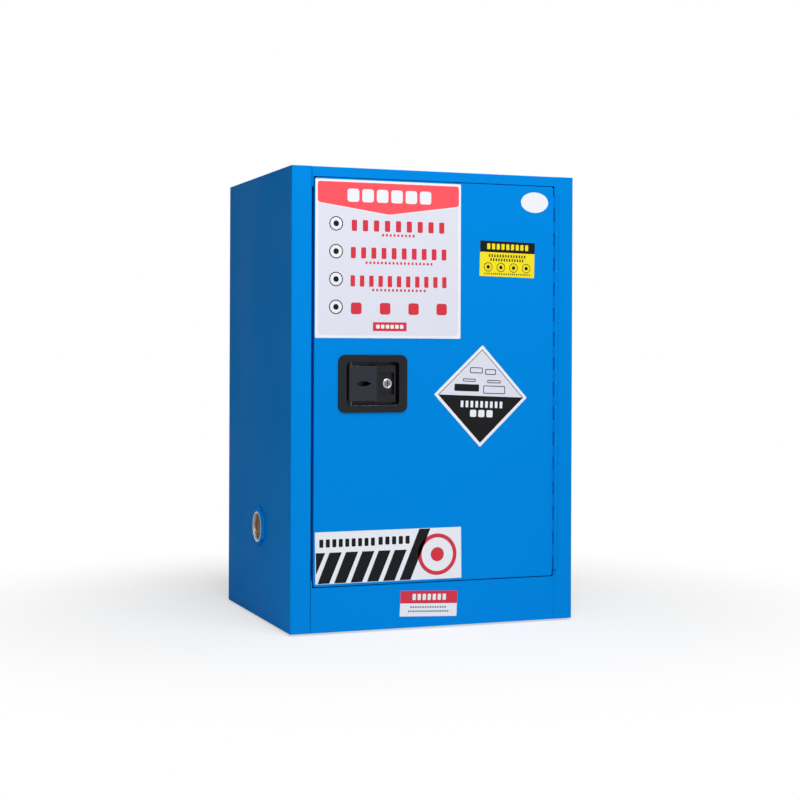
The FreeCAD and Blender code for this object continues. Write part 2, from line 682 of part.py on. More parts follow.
liner_back = body("liner_back")
pad(liner_back, "XZ", [rect("-jamb", "jamb", "sump_low", "liner_roof")], "liner_wall", "liner_back")

liner_top = body("liner_top")
roof = rect("-jamb - sheet", "jamb + sheet", "liner_front", "liner_back")
pad(liner_top, "XY", [roof], "liner_roof", "liner_roof + sheet")

sump = body("sump_tray")
pad(sump, "XY", [rect("-jamb", "jamb", "liner_front", "liner_wall")], "sump_low", "sump_high")
sump_corners = [
    ("-jamb", "liner_front"), ("jamb", "liner_front"), ("-jamb", "liner_wall"), ("jamb", "liner_wall"),
]
dress(sump, "sump_round", "Z", sump_corners)
open_shell(sump, "sheet", "Z", "sump_high")

bearers = body("sump_bearers")
for bearer_x in ("bearer_inset - half_wide", "half_wide - bearer_inset"):
    channel = hat(bearer_x, "bearer_wide", "bearer_foot", "floor_top", "sump_low", 1)
    pad(bearers, "XZ", [channel], "liner_front + tie_flange", "liner_back")

# ---------------------------------------------------------------- shelf and what carries it
standards = body("shelf_standards")
for side in (LEFT, RIGHT):
    for along in ("standard_fore", "standard_aft"):
        low, high = about(along, "standard_wide / 2")
        channel = [
            ("jamb", low), ("jamb", f"{low} + sheet"),
            ("standard_face + sheet", f"{low} + sheet"), ("standard_face + sheet", f"{high} - sheet"),
            ("jamb", f"{high} - sheet"), ("jamb", high),
            ("standard_face", high), ("standard_face", low),
        ]
        pad(standards, "XY", [mirrored(channel, side)], "standard_low", "standard_high")
slots = [
    rect(*about(along, "slot_wide / 2"), "slot_low", "slot_low + slot_tall")
    for along in ("standard_fore", "standard_aft")
]
slot_run = value("standard_high - standard_low - standard_end * 2 - slot_tall")
slot_count = int(slot_run // value("slot_pitch")) + 1
slot_cut = cut(standards, "YZ", slots, "-jamb", "jamb")
repeat(standards, [slot_cut], "Z", "slot_pitch", slot_count)

clips = body("shelf_clips")
for side in (LEFT, RIGHT):
    for along in ("standard_fore", "standard_aft"):
        hook = [
            ("standard_face", "clip_top - clip_tall"),
            ("standard_face", "clip_top"),
            ("standard_face - clip_reach", "clip_top"),
            ("standard_face - clip_reach", "clip_top - clip_thick"),
            ("standard_face - clip_thick", "clip_top - clip_thick"),
            ("standard_face - clip_thick", "clip_top - clip_tall"),
        ]
        pad(clips, "XZ", [mirrored(hook, side)], *about(along, "clip_wide / 2"))

shelf = body("shelf")
shelf_reach = "standard_face - shelf_air"
shelf_fore = "liner_front + shelf_setback"
shelf_aft = "liner_wall - shelf_back_air"
shelf_plan = rect(f"-({shelf_reach})", shelf_reach, shelf_fore, shelf_aft)
pad(shelf, "XY", [shelf_plan], "shelf_low", "shelf_low + shelf_lip")
dress(shelf, "shelf_round", "Z", shelf_plan)
open_shell(shelf, "sheet", "Z", "shelf_low + shelf_lip")

# ---------------------------------------------------------------- levelling feet
FOOT_NAMES = ("front_left", "front_right", "back_left", "back_right")
for foot_name, (across, deep) in zip(FOOT_NAMES, foot_spots):
    foot = body(f"foot_{foot_name}")
    foot_section = [
        (0, 0), ("foot_wide / 2", 0), ("foot_wide / 2", "foot_stand - foot_air"),
        ("stud_thick / 2", "foot_stand - foot_air"), ("stud_thick / 2", "stud_long"), (0, "stud_long"),
    ]
    turn(foot, foot_section)
    seat(foot, across, deep, 0)


def hexagon(across_flats):
    """The corners of a hexagon about the origin, with its points in the first direction."""
    point = f"{across_flats} / sqrt(3)"
    flat = f"{across_flats} / 2"
    return [
        (point, 0), (f"{point} / 2", flat), (f"-{point} / 2", flat),
        (f"-{point}", 0), (f"-{point} / 2", f"-{flat}"), (f"{point} / 2", f"-{flat}"),
    ]


weld_nuts = []
for across, deep in foot_spots:
    weld_nut = loose(body("weld_nut"))
    nut_bore = bore_for(0, 0, "stud_thick / 2 + running_fit")
    pad(weld_nut, "XY", [hexagon("nut_wide"), nut_bore], 0, "nut_tall")
    seat(weld_nut, across, deep, "floor_top")
    weld_nuts.append(weld_nut)
group("foot_nuts", weld_nuts)


# ---------------------------------------------------------------- piano hinge
def hinge_leaf(label, plate, web, first, count):
    """A leaf with its knuckles rolled round the pin, every second knuckle being this leaf's."""
    hinge = body(label)
    pad(hinge, "XY", [plate], "hinge_low", "hinge_high")
    low = f"hinge_low + knuckle_pitch * {first} + knuckle_air / 2"
    high = f"hinge_low + knuckle_pitch * {first + 1} - knuckle_air / 2"
    roll = pad(hinge, "XY", [shaft("hinge_x", "hinge_y", "knuckle")], low, high)
    neck = pad(hinge, "XY", [web], low, high)
    repeat(hinge, [roll, neck], "Z", "knuckle_pitch * 2", count)
    bore = bore_for("hinge_x", "hinge_y", "hinge_pin_thick / 2 + running_fit")
    cut(hinge, "XY", [bore], "hinge_low - past", "hinge_high + past")
    return hinge


knuckles = int(value("knuckle_count"))
frame_plate = rect("jamb - leaf", "jamb", "leaf_front", "front + leaf_deep")
frame_web = rect("jamb - leaf", "jamb", "hinge_y", "leaf_front")
hinge_leaf("hinge_leaf_frame", frame_plate, frame_web, 0, (knuckles + 1) // 2)
door_plate = rect("door_right", "door_right + leaf", "leaf_front", "front + leaf_deep")
door_web = [
    ("door_right", "leaf_front"), ("door_right + leaf", "leaf_front"),
    ("jamb", "hinge_y"), ("jamb - leaf", "hinge_y"),
]
hinge_leaf("hinge_leaf_door", door_plate, door_web, 1, knuckles // 2)

hinge_pin = body("hinge_pin")
pad(hinge_pin, "XY", [("hinge_x", "hinge_y", "hinge_pin_thick / 2")], "hinge_low", "hinge_high")

# ---------------------------------------------------------------- vents
VENTS = (("left", LEFT, "vent_low", "-X"), ("right", RIGHT, "vent_high", "+X"))
for vent_name, side, vent_z, facing in VENTS:
    hexagon_body = body(f"vent_hexagon_{vent_name}")
    pad(hexagon_body, "XY", [hexagon("vent_across"), (0, 0, "vent_pipe / 2")], 0, "vent_proud")
    seat(hexagon_body, f"{side} * half_wide", "vent_y", vent_z, facing)

    nipple = body(f"vent_nipple_{vent_name}")
    pipe_out = "half_wide + vent_proud"
    pipe_in = "jamb - vent_nut_thick - seat_air"
    pipe_long = f"({pipe_out} - ({pipe_in}))"
    mouth_bore = "vent_pipe / 2 - vent_wall"
    pipe_bore = f"({mouth_bore} - mouth_step)"
    mouth_floor = f"{pipe_long} - arrester_sink"
    pipe_section = [
        (pipe_bore, 0), ("vent_pipe / 2", 0), ("vent_pipe / 2", pipe_long),
        (mouth_bore, pipe_long), (mouth_bore, mouth_floor), (pipe_bore, mouth_floor),
    ]
    turn(nipple, pipe_section)
    seat(nipple, f"{side} * ({pipe_in})", "vent_y", vent_z, facing)

    lock_nut = body(f"vent_lock_nut_{vent_name}")
    pad(lock_nut, "XY", [hexagon("vent_nut_wide"), (0, 0, "vent_pipe / 2")], 0, "vent_nut_thick")
    seat(lock_nut, f"{side} * (jamb - vent_nut_thick)", "vent_y", vent_z, facing)

    arrester = body(f"flame_arrester_{vent_name}")
    arrester_out = f"{pipe_out} - arrester_sink"
    turn(arrester, [(0, 0), (pipe_bore, 0), (pipe_bore, "arrester_long"), (0, "arrester_long")])
    seat(arrester, f"{side} * ({arrester_out} - arrester_long)", "vent_y", vent_z, facing)

earth = body("earthing_stud")
pad(earth, "XY", [shaft(0, 0, "earth_thick / 2")], "-sheet - earth_nut_tall", "earth_long")
pad(earth, "XY", [hexagon("earth_nut")], "-sheet - earth_nut_tall", "-sheet")
pad(earth, "XY", [shaft(0, 0, "washer_wide / 2")], 0, "washer_thick")
pad(earth, "XY", [hexagon("earth_nut")], "washer_thick", "washer_thick + earth_nut_tall")
seat(earth, "half_wide", "back - earth_inset", "earth_rise", "+X")

# ---------------------------------------------------------------- door shell
outer_skin = body("door_outer_skin")
door_front = rect("door_left", "door_right", "door_low", "door_high")
pad(outer_skin, "XZ", [door_front], "front", "door_back")
dress(outer_skin, "door_corner", "Y", door_front)
open_shell(outer_skin, "sheet", "Y", "door_back")
cutout = rect(
    *about("latch_x", "pan_half_wide + cutout_air"), *about("latch_z", "pan_half_tall + cutout_air"),
)
cut(outer_skin, "XZ", [cutout], "front - past", "front + sheet + past")
dress(outer_skin, "pan_corner + pan_wall + cutout_air", "Y", cutout)
bolt_slot(outer_skin, "door_left - past", "door_left + sheet + past")
rod_hole(outer_skin, "top_rod_x", "door_high - sheet - past", "door_high + past")
rod_hole(outer_skin, "bottom_rod_x", "door_low - past", "door_low + sheet + past")

inner_skin = body("door_inner_skin")
skin_plan = rect("door_left + sheet", "door_right - sheet", "door_low + sheet", "door_high - sheet")
pad(inner_skin, "XZ", [skin_plan], "skin_inside - door_lip", "door_back")
dress(inner_skin, "door_corner - sheet", "Y", skin_plan)
open_shell(inner_skin, "sheet", "Y", "skin_inside - door_lip")

stiffeners = body("door_stiffeners")
for stiffener_x in ("door_right - stiffener_inset", "door_right - stiffener_inset - stiffener_pitch"):
    channel = hat(stiffener_x, "stiffener_wide", "stiffener_foot", "front + sheet", "skin_inside", 1)
    pad(stiffeners, "XY", [channel], "door_low + stiffener_end", "door_high - stiffener_end")

# ---------------------------------------------------------------- latch tray
tray = body("latch_tray")
flange = rect(*about("latch_x", "tray_wide / 2"), *about("latch_z", "tray_tall / 2"))
pan_outside = rect(*about("latch_x", "pan_half_wide"), *about("latch_z", "pan_half_tall"))
pan_inside = rect(*about("latch_x", "pan_wide / 2"), *about("latch_z", "pan_tall / 2"))
pad(tray, "XZ", [flange], "tray_face", "front")
dress(tray, "tray_corner", "Y", flange)
pad(tray, "XZ", [pan_outside], "front", "pan_rear")
cut(tray, "XZ", [pan_inside], "tray_face", "pan_floor")
dress(tray, "pan_corner", "Y", pan_inside)
dress(tray, "pan_corner + pan_wall", "Y", pan_outside)
tail_way = rect(
    "pivot_x - tail_thick / 2 - tail_air", "pivot_x + tail_thick / 2 + tail_swing",
    *about("latch_z", "tail_tall / 2 + tail_air"),
)
cut(tray, "XZ", [tail_way], "pan_floor - past", "pan_rear + past")
lock_window = rect(
    *about("lock_x", "lock_rim / 2 + window_air"), *about("latch_z", "cam_long + window_air"),
)
cut(tray, "XZ", [lock_window], "pan_floor - past", "pan_rear + past")
pin_hole = ("pivot_x", "pivot_y", "pivot_thick / 2")
cut(tray, "XY", [pin_hole], *about("latch_z", "pan_half_tall + past"))

clamps = body("tray_clamps")
for up in (-1, 1):
    clamp_root = f"latch_z + {up} * pan_half_tall"
    clamp_tip = f"latch_z + {up} * (pan_half_tall + cutout_air + clamp_reach)"
    clamp = rect(*about("latch_x", "clamp_wide / 2"), clamp_root, clamp_tip)
    pad(clamps, "XZ", [clamp], "front + sheet", "front + sheet * 2")

# ---------------------------------------------------------------- paddle
paddle = body("paddle")
raised = [
    ("latch_x - paddle_left", "paddle_face"), ("latch_x + paddle_step", "paddle_face"),
    ("latch_x + paddle_step", "lower_under"), ("latch_x + paddle_step - paddle_plate", "lower_under"),
    ("latch_x + paddle_step - paddle_plate", "paddle_under"), ("latch_x - paddle_left", "paddle_under"),
]
pad(paddle, "XY", [raised], *about("latch_z", "paddle_tall / 2"))
bevel = "min(paddle_bevel; paddle_plate * 0.8)"
dress(paddle, bevel, "Z", [("latch_x - paddle_left", "paddle_face")], "PartDesign::Chamfer")
lower = rect("latch_x + paddle_step - paddle_plate", "latch_x + paddle_right", "lower_face", "lower_under")
pad(paddle, "XY", [lower], *about("latch_z", "paddle_low_tall / 2"))
barrel = shaft("pivot_x", "pivot_y", "pivot_barrel")
pad(paddle, "XY", [barrel], *about("latch_z", "paddle_tall / 2"))
cup_outside = rect(
    "latch_x + cup_left - cup_wall", "latch_x + cup_right + cup_wall",
    *about("latch_z", "cup_tall / 2 + cup_wall"),
)
pad(paddle, "XZ", [cup_outside], "lower_under", "cup_floor + cup_wall")
cup_inside = rect("latch_x + cup_left", "latch_x + cup_right", *about("latch_z", "cup_tall / 2"))
cut(paddle, "XZ", [cup_inside], "lower_face - past", "cup_floor")
lock_hole = bore_for("lock_x", "latch_z", "lock_thick / 2")
cut(paddle, "XZ", [lock_hole], "cup_floor - past", "cup_floor + cup_wall + past")
tail = rect(*about("pivot_x", "tail_thick / 2"), "pivot_y", "bolt_rear")
pad(paddle, "XY", [tail], *about("latch_z", "tail_tall / 2"))
bore = bore_for("pivot_x", "pivot_y", "pivot_thick / 2 + running_fit")
cut(paddle, "XY", [bore], *about("latch_z", "paddle_tall / 2 + past"))
slot_x = "latch_x - padlock_inset"
lens = []
for reach, rise in ((-4, 0), (-2, -0.8), (0, -1), (2, -0.8), (4, 0), (2, 0.8), (0, 1), (-2, 0.8)):
    lens.append((f"{slot_x} + padlock_wide / 8 * {reach}", f"latch_z + padlock_tall / 2 * {rise}"))
cut(paddle, "XZ", [lens], "paddle_face - past", "paddle_under + past")

pivot_pin = body("pivot_pin")
pad(pivot_pin, "XY", [pin_hole], *about("latch_z", "pan_half_tall"))

spring = body("paddle_spring")
coil_bore = "pivot_thick / 2 + running_fit"
coil = [shaft("pivot_x", "pivot_y", f"{coil_bore} + spring_wire"), bore_for("pivot_x", "pivot_y", coil_bore)]
coil_low = "latch_z + paddle_tall / 2 + spring_air"
coil_high = f"{coil_low} + spring_tall"
pad(spring, "XY", coil, coil_low, coil_high)
foot_wire = rect(f"pivot_x + {coil_bore}", f"pivot_x + {coil_bore} + spring_wire", "pivot_y", "pan_floor")
pad(spring, "XY", [foot_wire], f"{coil_high} - spring_wire", coil_high)
arm_deep = ("paddle_under + spring_air", "paddle_under + spring_air + spring_wire")
arm = rect("pivot_x + spring_wire + spring_air", "pivot_x + spring_arm", *arm_deep)
pad(spring, "XY", [arm], coil_low, f"{coil_low} + spring_wire")
arm_end = rect("pivot_x + spring_arm - spring_wire", "pivot_x + spring_arm", *arm_deep)
pad(spring, "XY", [arm_end], "latch_z + paddle_tall / 2 - spring_hook", coil_low)

# ---------------------------------------------------------------- key lock
lock_body = body("lock_body")
plug_bore = "plug_thick / 2 + running_fit"
lock_section = [
    (plug_bore, 0), ("lock_thick / 2", 0), ("lock_thick / 2", "rim_start"), ("lock_rim / 2", "rim_start"),
    ("lock_rim / 2", "lock_long - edge_break"), ("lock_rim / 2 - edge_break", "lock_long"),
    (plug_bore, "lock_long"),
]
turn(lock_body, lock_section)
seat(lock_body, "lock_x", "cam_face", "latch_z", "-Y")

plug = body("lock_plug")
plug_section = [
    (0, "-cam_thick - plug_rivet"), ("plug_neck / 2", "-cam_thick - plug_rivet"), ("plug_neck / 2", 0),
    ("plug_thick / 2", 0), ("plug_thick / 2", "lock_long"), (0, "lock_long"),
]
turn(plug, plug_section)
key_slot = rect(*about(0, "key_slot_wide / 2"), *about(0, "key_slot_tall / 2"))
cut(plug, "XY", [key_slot], "lock_long - key_slot_deep", "lock_long + past")
seat(plug, "lock_x", "cam_face", "latch_z", "-Y")

lock_cam = body("lock_cam")
cam_plan = rect(*about("lock_x", "cam_wide / 2"), "latch_z - cam_wide / 2", "latch_z + cam_long")
pad(lock_cam, "XZ", [cam_plan], "cam_face", "cam_face + cam_thick")
dress(lock_cam, "cam_wide * 0.4", "Y", cam_plan)
neck_hole = bore_for("lock_x", "latch_z", "plug_neck / 2")
cut(lock_cam, "XZ", [neck_hole], "cam_face - past", "cam_face + cam_thick + past")

# ---------------------------------------------------------------- bolt, rods and what drives them
centre_bolt = body("centre_bolt")
bolt_tip = "door_left - bolt_proud"
tab_left, tab_right = about("latch_x", "bolt_tab / 2")
tab_low = "latch_z - crank - pin_slot_half - rod_eye_wall"
bolt_plan = [
    (bolt_tip, "latch_z - bolt_tall / 2"), (tab_left, "latch_z - bolt_tall / 2"),
    (tab_left, tab_low), (tab_right, tab_low),
    (tab_right, "latch_z + bolt_tall / 2"), (bolt_tip, "latch_z + bolt_tall / 2"),
]
pad(centre_bolt, "XZ", [bolt_plan], "bolt_face", "bolt_rear")
tail_slot = rect(
    *about("pivot_x", "tail_thick / 2 + tail_air"), *about("latch_z", "tail_tall / 2 + bolt_behind"),
)
pin_slot = rect(
    *about("latch_x", "pin_slot_half"),
    "latch_z - crank - pin_slot_half", "latch_z - crank + crank_shift + pin_slot_half",
)
cut(centre_bolt, "XZ", [tail_slot, pin_slot], "bolt_face - past", "bolt_rear + past")

for label, rod_x, side in (("top_rod", "top_rod_x", 1), ("bottom_rod", "bottom_rod_x", -1)):
    rod = body(label)
    eye_end = f"latch_z - {side} * (pin_slot_half + rod_eye_wall)"
    eye_start = f"latch_z + {side} * (pin_slot_half + rod_eye_wall)"
    pad(rod, "XZ", [rect(*about(rod_x, "rod_eye / 2"), eye_end, eye_start)], "rod_face", "rod_rear")
    strap = rect(*about(rod_x, "rod_strap_wide / 2"), "latch_z", f"latch_z + {side} * rod_strap")
    pad(rod, "XZ", [strap], "rod_face", "rod_rear")
    eye_slot = rect(
        f"{rod_x} - {side} * pin_slot_half", f"{rod_x} + {side} * (crank_shift + pin_slot_half)",
        *about("latch_z", "pin_slot_half"),
    )
    cut(rod, "XZ", [eye_slot], "rod_face - past", "rod_rear + past")
    shank_start = f"latch_z + {side} * (rod_strap - rod_thick)"
    if side == 1:
        pad(rod, "XY", [(rod_x, "rod_y", "rod_thick / 2")], shank_start, "door_high + rod_proud")
    else:
        pad(rod, "XY", [(rod_x, "rod_y", "rod_thick / 2")], "door_low - rod_proud", shank_start)

rod_cam = body("rod_cam")
disc = shaft("latch_x", "latch_z", "crank + cam_pin_thick")
hub = bore_for("latch_x", "latch_z", "cam_post_thick / 2 + running_fit")
pad(rod_cam, "XZ", [disc, hub], "rod_cam_face", "rod_cam_rear")
rod_pins = [shaft(f"latch_x + {side} * crank", "latch_z", "cam_pin_thick / 2") for side in (LEFT, RIGHT)]
pad(rod_cam, "XZ", rod_pins, "rod_face", "rod_cam_face")
bolt_pin = shaft("latch_x", "latch_z - crank", "cam_pin_thick / 2")
pad(rod_cam, "XZ", [bolt_pin], "bolt_face", "rod_cam_face")

housing = body("latch_housing")
post_spots = [
    (f"latch_x + {across} * post_inset_x", f"latch_z + {up} * post_inset_z")
    for up in (-1, 1) for across in (-1, 1)
]
housing_plan = rect(
    *about("latch_x", "post_inset_x + post_margin"), *about("latch_z", "post_inset_z + post_margin"),
)
screw_holes = [bore_for(across, up, "screw_thick / 2") for across, up in post_spots]
pad(housing, "XZ", [housing_plan] + screw_holes, "housing_face", "housing_rear")
dress(housing, "post_margin * 0.8", "Y", housing_plan)
cam_post = ("latch_x", "latch_z", "cam_post_thick / 2")
pad(housing, "XZ", [cam_post], "rod_rear", "housing_face")

posts = []
screws = []
for across, up in post_spots:
    post = loose(body("post"))
    post_long = "(housing_face - pan_rear)"
    pad(post, "XY", [hexagon("post_thick"), bore_for(0, 0, "screw_thick / 2")], 0, post_long)
    seat(post, across, "pan_rear", up, "+Y")
    posts.append(post)
    screw = loose(body("screw"))
    pad(screw, "XY", [shaft(0, 0, "screw_thick / 2")], "-screw_long", 0)
    pad(screw, "XY", [hexagon("screw_head")], 0, "screw_head_tall")
    seat(screw, across, "housing_rear", up, "+Y")
    screws.append(screw)
group("housing_posts", posts)
group("latch_screws", screws)

guides = body("rod_guides")
for rod_x, guide_z in (("top_rod_x", "door_high - guide_inset"), ("bottom_rod_x", "door_low + guide_inset")):
    block = rect(*about(rod_x, "guide_wide / 2"), "front + sheet", "rod_y + rod_thick / 2 + leaf")
    bore = bore_for(rod_x, "rod_y", "rod_thick / 2 + running_fit")
    pad(guides, "XY", [block, bore], *about(guide_z, "guide_tall / 2"))

# ---------------------------------------------------------------- strikes behind the jamb and rails
bolt_strike = body("bolt_strike")
strike_plan = rect(
    "bolt_face - strike_margin", "bolt_rear + strike_margin",
    *about("latch_z", "bolt_tall / 2 + strike_margin"),
)
pad(bolt_strike, "YZ", [strike_plan], "-jamb - sheet - strike_thick", "-jamb - sheet")
bolt_slot(bolt_strike, "-jamb - sheet - strike_thick - past", "past - jamb - sheet")

rod_strikes = body("rod_strikes")
strike_half = "rod_thick / 2 + strike_margin"
for rod_x, low, high in (
    ("top_rod_x", "head_low + sheet", "head_low + sheet + strike_thick"),
    ("bottom_rod_x", "sill_top - sheet - strike_thick", "sill_top - sheet"),
):
    plate = rect(*about(rod_x, strike_half), "front + sheet", "stop_face")
    rod_way = bore_for(rod_x, "rod_y", "rod_thick / 2 + bolt_air")
    pad(rod_strikes, "XY", [plate, rod_way], low, high)

# ---------------------------------------------------------------- check, then write
doc.recompute()
for item in doc.Objects:
    if {"Invalid", "Error"} & set(item.State):
        raise ValueError(f"{item.Label} did not build: {item.State}")
for node in nodes:
    if node.Shape.isNull() or not node.Shape.isValid():
        raise ValueError(f"{node.Label} has no valid shape")

os.makedirs("parts", exist_ok=True)
for node in nodes:
    node.Shape.exportStep(f"parts/{node.Label}.step")
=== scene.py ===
import json
import math
import bmesh
import bpy
from mathutils import Matrix, Vector


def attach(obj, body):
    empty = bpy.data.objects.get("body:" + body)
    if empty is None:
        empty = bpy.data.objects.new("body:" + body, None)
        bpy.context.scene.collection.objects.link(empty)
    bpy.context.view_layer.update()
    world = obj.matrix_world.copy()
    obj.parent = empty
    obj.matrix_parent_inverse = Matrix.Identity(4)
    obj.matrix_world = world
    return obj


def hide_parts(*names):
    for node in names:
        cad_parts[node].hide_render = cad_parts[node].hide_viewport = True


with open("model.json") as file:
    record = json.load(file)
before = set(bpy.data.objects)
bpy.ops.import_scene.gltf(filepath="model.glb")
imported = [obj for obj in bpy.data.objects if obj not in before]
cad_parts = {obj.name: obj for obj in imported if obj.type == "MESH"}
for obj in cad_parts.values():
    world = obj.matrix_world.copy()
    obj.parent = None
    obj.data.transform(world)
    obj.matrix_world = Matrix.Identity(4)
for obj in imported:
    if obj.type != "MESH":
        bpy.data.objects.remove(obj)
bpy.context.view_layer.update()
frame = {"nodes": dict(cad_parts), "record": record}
parts = frame["nodes"]
bodies = frame["record"]["behaviour"]["bodies"]
node_body = {node: body for body, nodes in bodies.items() for node in nodes}

# ---------------------------------------------------------------- studio
# A white cyclorama with one soft box high in front, a little to the left, another overhead and a
# weak fill, so that the door is bright and the sides fall to about two fifths of it.
EYE = Vector((-1.17101, -3.13870, 0.54181))
YAW, ROLL = 0.36011, 0.00387
LENS, SENSOR, DROP = 72.366, 36, -0.0625
FILL_COLOUR, FILL_STRENGTH = (0.94, 0.97, 1, 1), 0.13
WHITE = (1, 1, 1, 1)
PAPER_COLOUR = (0.93, 0.93, 0.93, 1)
FLOOR_SPAN = 14
FADE_NEAR, FADE_FAR, FADE_LEAST = 0.40, 1.15, 0.6

camera_data = bpy.data.cameras.new("camera")
camera_data.lens = LENS
camera_data.sensor_width = SENSOR
camera_data.shift_y = DROP
camera_data.clip_end = 4 * FLOOR_SPAN
camera = bpy.data.objects.new("camera", camera_data)
bpy.context.scene.collection.objects.link(camera)
ahead = Vector((math.sin(YAW), math.cos(YAW), 0))
level = Vector((math.cos(YAW), -math.sin(YAW), 0))
upright = level.cross(ahead)
right = level * math.cos(ROLL) + upright * math.sin(ROLL)
above = upright * math.cos(ROLL) - level * math.sin(ROLL)
facing = Matrix((right, above, -ahead)).transposed().to_4x4()
camera.matrix_world = Matrix.Translation(EYE) @ facing
bpy.context.scene.camera = camera
bpy.context.scene.view_settings.view_transform = "Standard"


def lamp(name, spot, aim, size, power):
    """A square soft box at a place, turned to face another."""
    light = bpy.data.lights.new(name, "AREA")
    light.shape = "SQUARE"
    light.size = size
    light.energy = power
    holder = bpy.data.objects.new(name, light)
    bpy.context.scene.collection.objects.link(holder)
    holder.location = spot
    holder.rotation_euler = (Vector(aim) - Vector(spot)).to_track_quat("-Z", "Y").to_euler()


lamp("key", (-0.5, -2.9, 2.4), (0, -0.2, 0.45), 1.5, 58)
lamp("top", (0.0, -1.3, 3.2), (0, -0.1, 0.3), 1.3, 50)


def seeing_rays(tree):
    """A socket that is 1 for the rays that show the backdrop: camera, glossy and transmission."""
    path = tree.nodes.new("ShaderNodeLightPath")
    total = path.outputs["Is Camera Ray"]
    for kind in ("Is Glossy Ray", "Is Transmission Ray"):
        larger = tree.nodes.new("ShaderNodeMath")
        larger.operation = "MAXIMUM"
        tree.links.new(total, larger.inputs[0])
        tree.links.new(path.outputs[kind], larger.inputs[1])
        total = larger.outputs[0]
    return total


world = bpy.data.worlds.new("studio")
bpy.context.scene.world = world
world.use_nodes = True
tree = world.node_tree
tree.nodes.clear()
seen = tree.nodes.new("ShaderNodeBackground")
seen.inputs["Color"].default_value = WHITE
seen.inputs["Strength"].default_value = 1
fill = tree.nodes.new("ShaderNodeBackground")
fill.inputs["Color"].default_value = FILL_COLOUR
fill.inputs["Strength"].default_value = FILL_STRENGTH
blend = tree.nodes.new("ShaderNodeMixShader")
tree.links.new(seeing_rays(tree), blend.inputs[0])
tree.links.new(fill.outputs[0], blend.inputs[1])
tree.links.new(seen.outputs[0], blend.inputs[2])
out = tree.nodes.new("ShaderNodeOutputWorld")
tree.links.new(blend.outputs[0], out.inputs["Surface"])

bpy.ops.object.select_all(action="DESELECT")
bpy.ops.mesh.primitive_plane_add(size=FLOOR_SPAN, location=(0, 0, 0))
floor = bpy.context.active_object
floor.name = "floor"
paper = bpy.data.materials.new("backdrop_paper")
paper.use_nodes = True
tree = paper.node_tree
tree.nodes.clear()
near = tree.nodes.new("ShaderNodeBsdfDiffuse")
near.inputs["Color"].default_value = PAPER_COLOUR
far = tree.nodes.new("ShaderNodeEmission")
far.inputs["Color"].default_value = WHITE
far.inputs["Strength"].default_value = 1
spot = tree.nodes.new("ShaderNodeTexCoord")
length = tree.nodes.new("ShaderNodeVectorMath")
length.operation = "LENGTH"
tree.links.new(spot.outputs["Object"], length.inputs[0])
fade = tree.nodes.new("ShaderNodeMapRange")
fade.interpolation_type = "SMOOTHSTEP"
fade.inputs["From Min"].default_value = FADE_NEAR
fade.inputs["From Max"].default_value = FADE_FAR
fade.inputs["To Min"].default_value = FADE_LEAST
tree.links.new(length.outputs["Value"], fade.inputs["Value"])
amount = tree.nodes.new("ShaderNodeMath")
amount.operation = "MULTIPLY"
tree.links.new(seeing_rays(tree), amount.inputs[0])
tree.links.new(fade.outputs["Result"], amount.inputs[1])
blend = tree.nodes.new("ShaderNodeMixShader")
tree.links.new(amount.outputs[0], blend.inputs[0])
tree.links.new(near.outputs[0], blend.inputs[1])
tree.links.new(far.outputs[0], blend.inputs[2])
out = tree.nodes.new("ShaderNodeOutputMaterial")
tree.links.new(blend.outputs[0], out.inputs["Surface"])
floor.data.materials.append(paper)

# ---------------------------------------------------------------- carcass
# Five folded panels and a rail of 1.2 mm sheet steel, spot-welded into a box and sprayed inside
# and out with a satin blue powder, which is baked on and dries in a fine orange peel.
CABINET_BLUE = (0.0006, 0.232, 0.70, 1)
BLUE_THIN = (0.0004, 0.222, 0.68, 1)
BLUE_FULL = (0.0008, 0.242, 0.72, 1)
BLUE_SHEEN = 0.012
PEEL_SCALE, PEEL_STRENGTH, PEEL_DEEP = 420, 0.12, 0.00025
WELD_TOGETHER = 0.000002


def surface(name, colour, rough, metal=0.0):
    """A material with one shader, with its tree and its shader beside it."""
    material = bpy.data.materials.new(name)
    material.use_nodes = True
    shader = material.node_tree.nodes["Principled BSDF"]
    shader.inputs["Base Color"].default_value = colour
    shader.inputs["Roughness"].default_value = rough
    shader.inputs["Metallic"].default_value = metal
    return material, material.node_tree, shader


def grain(tree, scale, detail):
    """Noise over the object's own coordinates, in metres."""
    where = tree.nodes.new("ShaderNodeTexCoord")
    noise = tree.nodes.new("ShaderNodeTexNoise")
    noise.inputs["Scale"].default_value = scale
    noise.inputs["Detail"].default_value = detail
    tree.links.new(where.outputs["Object"], noise.inputs["Vector"])
    return noise


def bump(tree, shader, noise, strength, distance):
    """Let noise raise and sink a surface by a small distance, in metres."""
    node = tree.nodes.new("ShaderNodeBump")
    node.inputs["Strength"].default_value = strength
    node.inputs["Distance"].default_value = distance
    tree.links.new(noise.outputs["Fac"], node.inputs["Height"])
    tree.links.new(node.outputs["Normal"], shader.inputs["Normal"])


def vary(tree, shader, socket, noise, low, high):
    """Let noise move a shader's value, or a colour, between two ends."""
    if isinstance(low, tuple):
        node = tree.nodes.new("ShaderNodeMix")
        node.data_type = "RGBA"
        node.inputs["A"].default_value = low
        node.inputs["B"].default_value = high
        tree.links.new(noise.outputs["Fac"], node.inputs["Factor"])
    else:
        node = tree.nodes.new("ShaderNodeMapRange")
        node.inputs["From Min"].default_value = 0.3
        node.inputs["From Max"].default_value = 0.7
        node.inputs["To Min"].default_value = low
        node.inputs["To Max"].default_value = high
        tree.links.new(noise.outputs["Fac"], node.inputs["Value"])
    tree.links.new(node.outputs["Result"], shader.inputs[socket])


